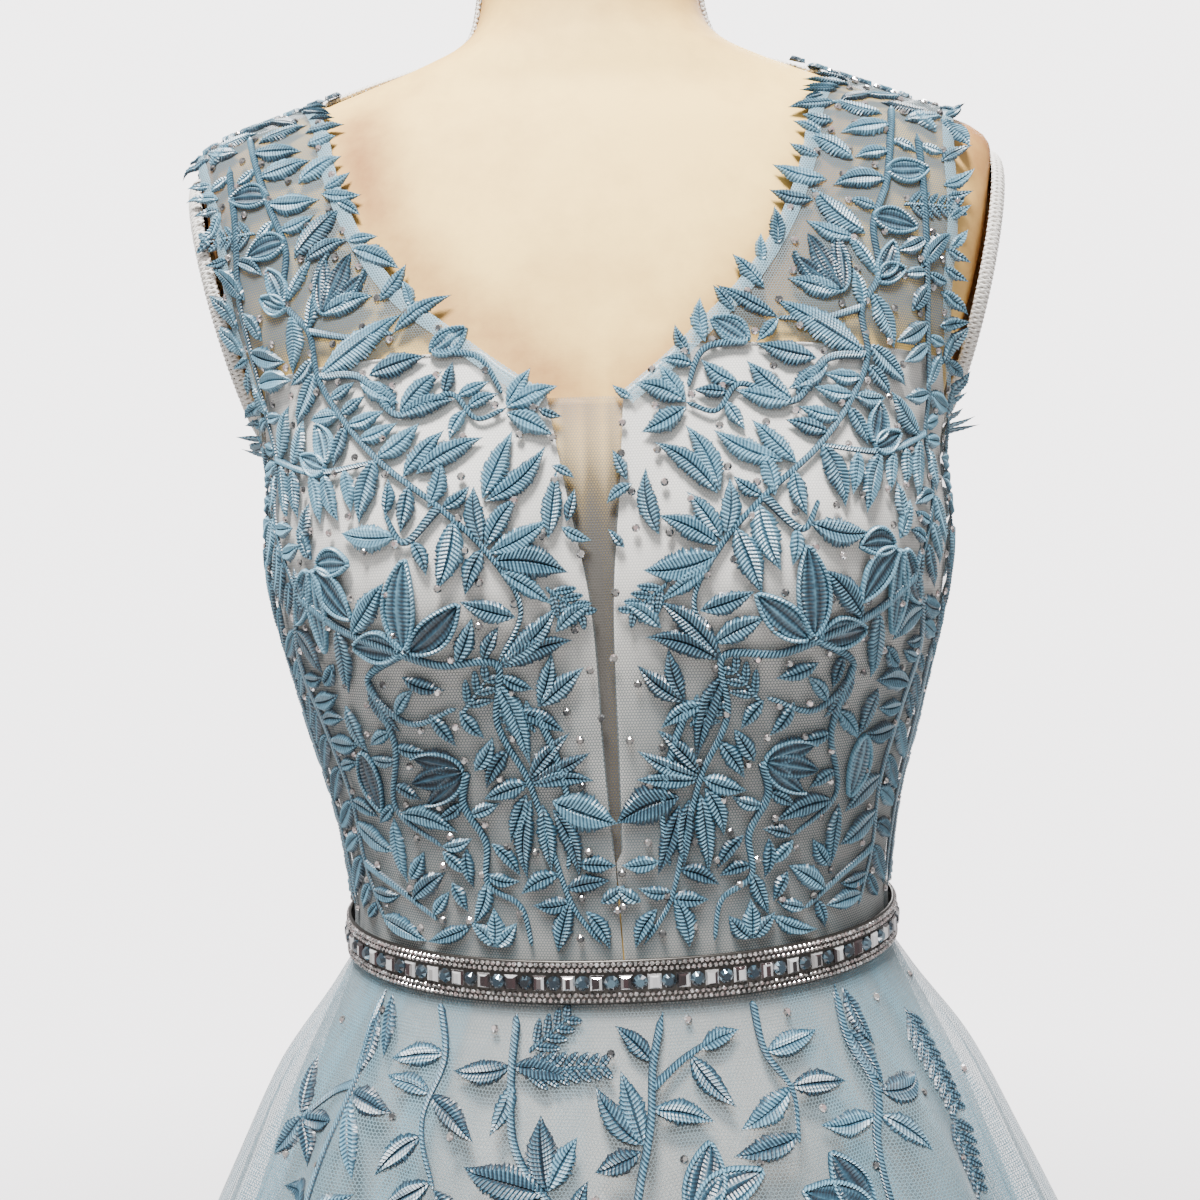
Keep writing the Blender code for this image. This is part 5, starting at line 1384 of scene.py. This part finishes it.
class Panel:
    """One quarter of the bodice: lining, net, folded edges and stitching."""

    def __init__(self, form, hand, back, materials):
        self.form = form
        self.hand = hand
        self.back = back
        self.materials = materials
        self.label = ("back_" if back else "front_") + ("right" if hand > 0 else "left")
        self.flip = (hand > 0) == back
        self.outline = bodice_outline(form, hand, back)
        self.throat, self.arm_line, self.top, self.tip = bodice_lines(form, hand, back)
        self.random = np.random.default_rng(5 + back)
        self.layout = Layout(self.inside)
        self.ferns = []

    def at(self, points, offset):
        return self.form.at(self.hand * points[:, 0], points[:, 1], offset, self.back)

    def place(self, points, lift=0.0):
        return self.at(points, net_offset(points[:, 1]) + lift)

    def place_lining(self, points):
        ripple = 0.00035 * np.sin(points[:, 0] * 260) * soft_step(0.16, 0.235, points[:, 1])
        return self.at(points, LINING_OUT + ripple)

    def place_stitch(self, points, lift):
        """Stitching stays off the belt and side seam, and stands free past the armhole."""
        across, along = points.T
        along = np.maximum(along, STITCH_FOOT)
        across = np.minimum(across, self.form.run(along, self.back) - 0.0004)
        edge = self.arm_line[::-1]
        over = np.clip(across - np.interp(along, edge[:, 1], edge[:, 0]), 0, None)
        over = over * ((along > edge[0, 1]) & (along < edge[-1, 1]))
        offset = net_offset(along) + 0.0002 + lift + STAND_FREE * over
        return self.at(np.column_stack([across, along]), offset)

    def inside(self, spots):
        limit = self.form.run(spots[:, 1], self.back) - 0.003
        return in_polygon(spots, self.outline) & (spots[:, 1] > STONE_FOOT) & (spots[:, 0] < limit)

    def chart(self, pairs):
        """Chart places of stitching given in millimetres."""
        return self.form.chart(motif_places(pairs, self.hand, self.back), self.back)

    def make_lining(self):
        outline, top_line = lining_outline(self.form, self.hand, self.back)
        points, faces, flat = sheet_from(outline, self.place_lining)
        build = Build()
        build.add(points, faces, flat, 0.5, self.flip)
        satin = self.materials["satin"]
        lining = build.make("lining_" + self.label, satin, replaces=["bodice_lining_" + self.label],
                            slot="ivory_satin")
        build = Build()
        edge = smooth_line(top_line, 0.003)
        rim = self.place_lining(edge)
        tube(build, rim, unit(self.place(edge) - rim), 0.0007, 6, 0.6)
        hem = build.make("lining_edge_" + self.label, satin, slot="ivory_satin")
        declare_cut(outline, [hem])
        return lining

    def make_net(self):
        points, faces, flat = sheet_from(self.outline, self.place)
        build = Build()
        # Tone: denser net at the straps; painted shade under the bust, where a denser net hides more of the
        # pale lining; thinnest over the bust, as painted light.
        strap = soft_step(0.236, 0.262, flat[:, 1])
        below = 1 - soft_step(0.095, 0.160, flat[:, 1])
        build.add(points, faces, flat, 0.12 + 0.78 * strap + 0.50 * below, self.flip)
        return build.make("net_" + self.label, self.materials["net"], replaces=["bodice_net_" + self.label],
                          slot="blue_embroidered_net")

    def make_band(self):
        """Net folded in along the neck and armhole."""
        build = Build()
        for line in (self.throat, self.arm_line):
            beside = sideways(line)[1]
            strip = np.stack([line - beside * BAND_WIDTH * s for s in np.linspace(0, 1, 4)], axis=1)
            flat = strip.reshape(-1, 2)
            flat[:, 0] = np.minimum(flat[:, 0], self.form.run(flat[:, 1], self.back) - GAP)
            points = self.place(flat, np.tile([0.0003, 0.0009, 0.0008, 0.0005], len(strip)))
            build.add_grid(points.reshape(*strip.shape[:2], 3), flat, 0.5, not self.flip)
        return build.make("net_band_" + self.label, self.materials["band"], slot="blue_embroidered_net")

    def stems(self):
        """Main stems as listed, and two wavy ones along the side seam."""
        rows = BACK_STEMS if self.back else FRONT_STEMS
        stems = [smooth_line(self.chart(line), 0.003) for line in rows]
        rises = np.linspace(0.016, 0.204, 60)
        sway = 0.5 * np.sin(rises * 46 + self.back)
        for inset in (0.011, 0.033):
            stems.append(np.column_stack([self.form.run(rises, self.back) - inset + 0.010 * sway, rises]))
        return stems

    def lay_out(self, stems):
        """Leaves as listed, then on the shoulder, the edges and wherever a stem has room."""
        layout = self.layout
        for stem in stems:
            layout.add_cord(stem, STEM_HALF)
        rows = BACK_LEAVES if self.back else FRONT_LEAVES
        for foot, row in zip(self.chart([row[:2] for row in rows]), rows):
            layout.add(foot, row[2], row[3] / 1000, row[4] / 1000, row[5])
        for x, z, degrees, length in (BACK_FERNS if self.back else FRONT_FERNS):
            foot = self.chart([(x, z)])[0]
            self.ferns.append((foot, degrees, length / 1000))
            layout.add(foot, degrees, length / 1000, 0.014)
            layout.leaves.pop()
        for row in range(3):
            for along in np.arange(self.tip + 0.010 + 0.004 * row, self.top + 0.003, 0.0115):
                foot = (float(self.form.run(along, self.back)) - 0.0045 - 0.0085 * row, along)
                layout.add(foot, -90 - 14 * (row % 2), 0.021, 0.0075)
        layout.fringe(self.throat, 0.0088, (0.014, 0.019, 0.024, 0.028), self.random)
        layout.fringe(self.arm_line, 0.0075, (0.013, 0.017, 0.022), self.random)
        if not self.back:
            vee = vee_line(self.form, self.hand)
            layout.fringe(vee[vee[:, 1] > 0.155], 0.017, (0.010, 0.013), self.random)
        for stem in stems:
            layout.grow(stem, 0.0050, (0.026, 0.022, 0.018, 0.014, 0.011))

    def make_stitching(self, stems):
        stitches = Stitching(self.place_stitch, self.flip, HIDDEN_RIB_STEP if self.back else RIB_STEP)
        stitches.stems(stems, 0.0019, 0.5, 0.0015)
        for foot, degrees, length, width, kind in self.layout.leaves:
            # Painted light and shade: front leaves from the bust up are lighter, and leaves along the
            # shoulder ridge darker.
            shoulder = float(soft_step(0.335, 0.362, foot[1]))
            lit = 0.0 if self.back else float(soft_step(0.125, 0.180, foot[1]))
            stitches.motif(foot, degrees, length, width, kind, self.random.uniform(-0.09, 0.09),
                           self.random.uniform(0.34, 0.68) + 0.13 * lit - 0.20 * shoulder)
        for foot, degrees, length in self.ferns:
            stitches.fern(foot, degrees, length, 0.5)
        return stitches.build.make("embroidery_" + self.label, self.materials["thread"], smooth=False,
                                   slot="blue_embroidered_net")

    def make_stones(self):
        spots = scatter(self.outline, 0.0115, self.layout.blocked(), 3 + self.back, 2400)
        spots = spots[(spots[:, 1] > STONE_FOOT)]
        return make_stones("stones_" + self.label, frames_of(self.place, spots, 0.0003, self.flip),
                           self.random, self.materials["crystal"])

    def make(self):
        lining = self.make_lining()
        net = self.make_net()
        band = self.make_band()
        stems = self.stems()
        self.lay_out(stems)
        stitching = self.make_stitching(stems)
        declare_cut(self.outline, [band, stitching, self.make_stones()])


def make_insert(form, sheer):
    """Dark mesh in the V, clearer towards its top."""
    outline = insert_outline(form)
    points, faces, flat = sheet_from(outline, lambda p: form.at(p[:, 0], p[:, 1], INSERT_OUT), 0.003)
    build = Build()
    # The sine term paints shade in even vertical streaks, standing in for gathers.
    tone = 1.0 - 0.8 * soft_step(0.150, 0.216, flat[:, 1]) + 0.12 * np.sin(flat[:, 0] * 700)
    build.add(points, faces, flat, np.clip(tone, 0, 1))
    piece = build.make("sheer_panel", sheer, replaces=["sheer_insert"], slot="taupe_mesh")
    declare_cut(outline)


def make_belt(form, materials):
    """Ribbon belt with four rows of small stones and a row of large ones."""
    girth = 4 * QUARTER

    def ring(share, rise, offset):
        """Points by share of the girth from one side of the centre back."""
        column = np.minimum(np.abs(share - 0.5) * girth, 2 * QUARTER - 0.06)
        points = form.read(column, np.zeros(len(share)), offset, np.where(share < 0.5, -1.0, 1.0))
        points[:, 2] += rise
        return points

    def frames(share, rise, offset):
        centre = ring(share, rise, offset)
        upright = np.tile([0.0, 0.0, 1.0], (len(share), 1))
        return (centre, *squared(ring(share + 0.0005, rise, offset) - centre, upright))

    def stones(name, build, material):
        return build.make(name, materials[material], smooth=False, slot="belt_rhinestones")

    share = np.linspace(0.001, 0.999, 421)
    profile = [(-BELT_HALF, 0.0), (-BELT_HALF - 0.0002, 0.0007), (-BELT_HALF + 0.0004, 0.0012), (0.0, 0.0013),
               (BELT_HALF - 0.0004, 0.0012), (BELT_HALF + 0.0002, 0.0007), (BELT_HALF, 0.0)]
    build = Build()
    build.add_grid(np.array([ring(share, rise, BELT_OUT - 0.0012 + lift) for rise, lift in profile]),
                   np.concatenate([np.column_stack([share * 0.72, np.full(421, p[0])]) for p in profile]))
    ribbon = build.make("belt_ribbon", materials["ribbon"], replaces=["stone_belt"], slot="belt_rhinestones")
    length = float(2 * (form.run(0.0, False) + form.run(0.0, True)))

    build = Build()
    count = int(length / 0.00215)
    for row, rise in enumerate((-0.0071, -0.0049, 0.0049, 0.0071)):
        share = np.linspace(0.004, 0.995, count) + 0.5 * (row % 2) / count
        tones = RANDOM.uniform(0.40, 0.80, count)
        add_gems(build, frames(share, rise, BELT_OUT - 0.0001), 0.00103, 0.0011, tones, 6)
    pieces = [stones("belt_small_stones", build, "crystal")]
    build = Build()
    share = (np.arange(STONE_PAIRS) + 0.5) / STONE_PAIRS
    tones = RANDOM.uniform(0.15, 0.55, STONE_PAIRS)
    add_gems(build, frames(share, 0.0, BELT_OUT), 0.0030, 0.0021, tones, 10)
    pieces.append(stones("belt_round_stones", build, "blue_crystal"))
    build = Build()
    share = np.arange(1, STONE_PAIRS) / STONE_PAIRS
    add_baguettes(build, *frames(share, 0.0, BELT_OUT), 0.0028, 0.0030, 0.0019)
    pieces.append(stones("belt_baguettes", build, "baguette"))


def add_baguettes(build, centres, rights, ups, half_wide, half_tall, height):
    """Step-cut oblong stones in thin metal cups; each face gets a random tone, a painted reflection."""
    levels = [(1.0, 1.0, 0.0), (1.0, 1.0, 0.35), (0.72, 0.84, 0.75), (0.34, 0.66, 1.0)]
    corners = np.array([(-1, -1), (1, -1), (1, 1), (-1, 1)], dtype=float)
    for centre, right, up in zip(centres, rights, ups):
        out = np.cross(right, up)
        rings = []
        for wide, tall, rise in levels:
            rings.append(centre + corners[:, :1] * right * half_wide * wide
                         + corners[:, 1:] * up * half_tall * tall + out * height * rise)
        for low, high in zip(rings[:-1], rings[1:]):
            for k in range(4):
                after = (k + 1) % 4
                build.add(np.array([low[k], low[after], high[after], high[k]]), [[0, 1, 2, 3]], None,
                          float(RANDOM.uniform(0, 1)))
        build.add(rings[-1], [[0, 1, 2, 3]], None, float(RANDOM.uniform(0, 1)))


def skirt_sheet(skirt, layer, start, end, columns, drops):
    """Grid of a skirt layer between two shares of its half girth; rows climb."""
    rows = []
    uvs = []
    tones = []
    share = np.abs(np.linspace(start, end, columns))
    streaks = np.clip(sum(np.cos(share * k + k) for k in (47, 83, 131, 211)) / 2, 0, 1)
    for drop in drops[::-1]:
        run = float(skirt.run(drop))
        across = np.linspace(start * run, end * run, columns)
        rows.append(skirt.at(across, np.full(columns, drop), layer))
        uvs.append(np.column_stack([across, np.full(columns, -drop)]))
        middle = np.exp(-((share * run / 0.085) ** 4)) * (1 - float(soft_step(0.10, 0.40, drop)))
        tones.append(np.clip(0.66 - 0.30 * middle + 0.38 * streaks * (1 - 0.8 * middle), 0, 1))
    return np.array(rows), np.concatenate(uvs), np.concatenate(tones)


def surface_area(grid):
    a = grid[1:, :-1] - grid[:-1, :-1]
    b = grid[:-1, 1:] - grid[:-1, :-1]
    return float(np.linalg.norm(np.cross(a, b), axis=2).sum())


def hem_length(grid):
    return float(np.linalg.norm(np.diff(grid[0], axis=0), axis=1).sum())


def make_layer(skirt, layer, columns, drops, name, node, material, slot):
    """A skirt layer that runs all round; the slip, layer 0, has one even tone."""
    grid, uv, tone = skirt_sheet(skirt, layer, -1, 1, columns, drops)
    build = Build()
    build.add_grid(grid, uv, tone if layer else 0.5)
    piece = build.make(name, material, replaces=[node], slot=slot)
    hem_length(grid)
    surface_area(grid)
    return piece


def make_vines(name, placer, materials):
    """Stitching and stones down one side of the skirt."""
    layout = Layout(lambda spots: (spots[:, 1] < -0.012) & (spots[:, 1] > -0.60))
    stems = [smooth_line([(x / 1000, -z / 1000) for x, z in line], 0.003) for line in SKIRT_STEMS]
    for stem in stems:
        layout.add_cord(stem, STEM_HALF)
    for x, z, degrees, length, width, kind in SKIRT_LEAVES:
        layout.add((x / 1000, -z / 1000), degrees, length / 1000, width / 1000, kind)
    for stem in stems:
        layout.grow(stem, 0.0150, (0.024, 0.020, 0.016), 0.0016, 0.36)
    random = np.random.default_rng(21)
    stitches = Stitching(placer, False, HIDDEN_RIB_STEP if name == "back" else RIB_STEP)
    stitches.stems(stems, 0.0017, 0.42, 0.0014)
    for foot, degrees, length, width, kind in layout.leaves:
        stitches.motif(foot, degrees, length, width, kind, random.uniform(-0.08, 0.08),
                       random.uniform(0.26, 0.56))
    for x, z, degrees, length in SKIRT_FERNS:
        stitches.fern((x / 1000, -z / 1000), degrees, length / 1000, 0.30)
    vines = stitches.build.make("skirt_vines_" + name, materials["thread"], smooth=False,
                                slot="blue_embroidered_tulle")
    box = np.array([(-0.15, -0.40), (0.15, -0.40), (0.15, -0.014), (-0.15, -0.014)])
    spots = scatter(box, 0.024, layout.blocked(), 8, 900)
    return [vines, make_stones("skirt_stones_" + name, frames_of(placer, spots, 0.0), random,
                               materials["crystal"])]


def make_skirts(materials):
    """Slip, tulle layer and embroidered overlay, each on the one below."""
    skirt = Skirt()
    drops = np.concatenate([np.linspace(0.0, 0.10, 27), np.linspace(0.10, HEM_DROP, 76)[1:]])
    slip = make_layer(skirt, 0, 241, drops[::3], "slip", "skirt_slip", materials["satin"], "ivory_satin")
    tulle = make_layer(skirt, 1, 401, drops[::2], "tulle_layer", "skirt_tulle", materials["tulle"],
                       "pale_blue_tulle")

    def place(points, lift=0.0):
        return skirt.at(points[:, 0], -points[:, 1], 2, 0.0003 + lift)

    def place_back(points, lift=0.0):
        run = skirt.run(-points[:, 1])
        across = points[:, 0] + run
        return place(np.column_stack([np.where(across > run, across - 2 * run, across), points[:, 1]]), lift)

    for name, spans, placer in (("front", [(-0.5, 0.5)], place),
                                ("back", [(0.5, 1.0), (-1.0, -0.5)], place_back)):
        build = Build()
        area = 0.0
        hem = 0.0
        for start, end in spans:
            grid, uv, tone = skirt_sheet(skirt, 2, start, end, 361 // len(spans), drops)
            build.add_grid(grid, uv, tone)
            area += surface_area(grid)
            hem += hem_length(grid)
        overlay = build.make("overlay_" + name, materials["overlay"], replaces=["skirt_overlay_" + name],
                             slot="blue_embroidered_tulle")
        make_vines(name, placer, materials)


def make_zip(form, tape, metal):
    """Concealed zip up the centre back: two tapes that meet at a fine seam."""
    levels = np.linspace(0.006, LINING_TOP_BACK + 0.004, 100)
    profile = [(-0.0050, 0.0008), (-0.0048, 0.0015), (-0.0009, 0.0016), (-0.0004, 0.0021), (0.0, 0.0014),
               (0.0004, 0.0021), (0.0009, 0.0016), (0.0048, 0.0015), (0.0050, 0.0008)]
    rows = []
    for across, offset in profile[::-1]:
        rows.append(form.at(np.full(100, across), levels, offset, back=True))
    grid = np.stack(rows, axis=1)
    build = Build()
    uv = np.stack([np.tile([p[0] for p in profile], (100, 1)), np.tile(levels[:, None], (1, 9))], axis=-1)
    build.add_grid(grid, uv.reshape(-1, 2))
    build.make("zip_tapes", tape, replaces=["back_zip_tape"], slot="zip_tape")
    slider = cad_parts["back_zip_slider"]
    slider.data.materials.clear()
    slider.data.materials.append(metal)
    edge = slider.modifiers.new("soft_edges", "BEVEL")
    edge.width = 0.0003
    edge.segments = 2


# Camera, light and floor

CAMERA_LENS = 38.6
CAMERA_AT = (-0.005, -0.61, WAIST_Z + 0.141)
CAMERA_ROLL = math.radians(2.0)
BACKDROP_LIGHT = 4.6
ROOM_LIGHT = 0.72
FLOOR_RADIUS = 1.75


def make_camera():
    data = bpy.data.cameras.new("camera")
    data.lens = CAMERA_LENS
    data.sensor_width = 36.0
    data.clip_start = 0.01
    camera = bpy.data.objects.new("camera", data)
    bpy.context.scene.collection.objects.link(camera)
    right = Vector((math.cos(CAMERA_ROLL), 0.0, -math.sin(CAMERA_ROLL)))
    up = Vector((math.sin(CAMERA_ROLL), 0.0, math.cos(CAMERA_ROLL)))
    back = right.cross(up)
    matrix = Matrix((right, up, back)).transposed().to_4x4()
    matrix.translation = Vector(CAMERA_AT)
    camera.matrix_world = matrix
    bpy.context.scene.camera = camera


def area_light(name, at, aim, size, power):
    data = bpy.data.lights.new(name, "AREA")
    data.shape = "DISK"
    data.size = size
    data.energy = power
    light = bpy.data.objects.new(name, data)
    bpy.context.scene.collection.objects.link(light)
    light.location = at
    direction = Vector(aim) - Vector(at)
    light.rotation_euler = direction.to_track_quat("-Z", "Y").to_euler()


def make_stage():
    """Pale floor and backdrop; the camera sees the backdrop brighter than it lights."""
    n = Nodes("studio", world=True)
    rise = n.node("SeparateXYZ", {0: n.node("TexCoord").outputs["Generated"]}).outputs[2]
    sky = n.ramp(n.math("MULTIPLY_ADD", rise, 0.5, 0.5),
                 [(0.22, (0.40, 0.39, 0.39)), (0.34, (0.86, 0.83, 0.84)), (0.75, (1.0, 0.97, 0.97))])
    seen = n.node("LightPath").outputs["Is Camera Ray"]
    light = n.math("MULTIPLY_ADD", seen, BACKDROP_LIGHT - ROOM_LIGHT, ROOM_LIGHT)
    bpy.context.scene.world = n.set(Color=sky, Strength=light)
    area_light("key", (-0.3, -1.1, 3.4), (0.0, 0.0, 1.1), 0.7, 290)
    area_light("back", (0.6, 2.0, 2.8), (0.0, 0.0, 1.0), 1.6, 120)
    n = Nodes("floor_finish")
    cloud = n.noise(n.place(), 3.0)
    n.set(Base_Color=n.mix(cloud, (0.80, 0.78, 0.78), (0.84, 0.82, 0.82)), Roughness=0.75)
    angle = np.linspace(0, 2 * math.pi, 97)[:-1]
    rim = [(FLOOR_RADIUS * math.cos(a), FLOOR_RADIUS * math.sin(a), 0.0) for a in angle]
    mesh = bpy.data.meshes.new("floor")
    mesh.from_pydata(rim, [], [tuple(range(96))])
    mesh.materials.append(n.owner)
    floor = bpy.data.objects.new("floor", mesh)
    bpy.context.scene.collection.objects.link(floor)


def make_materials():
    """All finishes by name; each net has a thin and a dense colour."""
    band = (0.22, 0.37, 0.45)
    # The stones' ramps run from almost black to white: painted reflections and glints over each stone's own
    # colour.
    crystal = [(0.0, (0.010, 0.011, 0.014)), (0.35, (0.12, 0.12, 0.12)), (0.6, (0.46, 0.44, 0.41)),
               (0.8, (0.50, 0.36, 0.35)), (1.0, (0.98, 0.98, 0.98))]
    blue_crystal = [(0.0, (0.001, 0.003, 0.006)), (0.45, (0.012, 0.040, 0.065)), (0.75, (0.14, 0.25, 0.32)),
                    (1.0, (0.95, 0.97, 1.0))]
    baguette = [(0.0, (0.006, 0.003, 0.003)), (0.36, (0.05, 0.016, 0.018)), (0.5, (0.45, 0.44, 0.43)),
                (0.75, (0.95, 0.95, 0.95))]
    return {
        "net": net_material("net_finish", (0.080, 0.110, 0.118), (0.125, 0.165, 0.180), 0.0012,
                            0.12, 0.16, 0.72),
        "band": net_material("net_band_finish", band, band, 0.0012, 0.14, 0.30, 0.85),
        "overlay": net_material("overlay_finish", (0.11, 0.140, 0.150), (0.10, 0.205, 0.26), 0.0014,
                                0.11, 0.16, 0.82),
        "tulle": net_material("tulle_finish", (0.30, 0.36, 0.39), (0.24, 0.38, 0.45), 0.0013,
                              0.10, 0.18, 0.62),
        "sheer": sheer_material("sheer_finish", (0.075, 0.070, 0.062), 0.00115, 0.15),
        "thread": thread_material("thread_finish", (0.001, 0.006, 0.013), (0.011, 0.046, 0.074),
                                  (0.13, 0.28, 0.37)),
        "satin": satin_material("satin_finish", (0.93, 0.89, 0.83)),
        "ribbon": metal_material("ribbon_finish", (0.065, 0.06, 0.055), 0.35),
        "crystal": gem_material("crystal_finish", crystal),
        "blue_crystal": gem_material("blue_crystal_finish", blue_crystal),
        "baguette": gem_material("baguette_finish", baguette),
        "canvas": canvas_material("canvas_finish", (0.98, 0.66, 0.20), (0.36, 0.16, 0.045)),
        "trim": trim_material("trim_finish", (0.84, 0.80, 0.74)),
        "metal": metal_material("stand_finish", (0.70, 0.69, 0.67), 0.32),
        "tape": satin_material("tape_finish", (0.18, 0.29, 0.36)),
        "zip": metal_material("zip_finish", (0.55, 0.57, 0.60), 0.25),
    }


def main():
    materials = make_materials()
    form = Form()
    make_form(form, materials["canvas"])
    make_cap(materials["trim"])
    make_stand(materials["metal"])
    make_trims(form, materials["canvas"], materials["trim"])
    for hand in (1, -1):
        for back in (False, True):
            Panel(form, hand, back, materials).make()
    make_insert(form, materials["sheer"])
    make_belt(form, materials)
    make_skirts(materials)
    make_zip(form, materials["tape"], materials["zip"])
    make_camera()
    make_stage()


main()
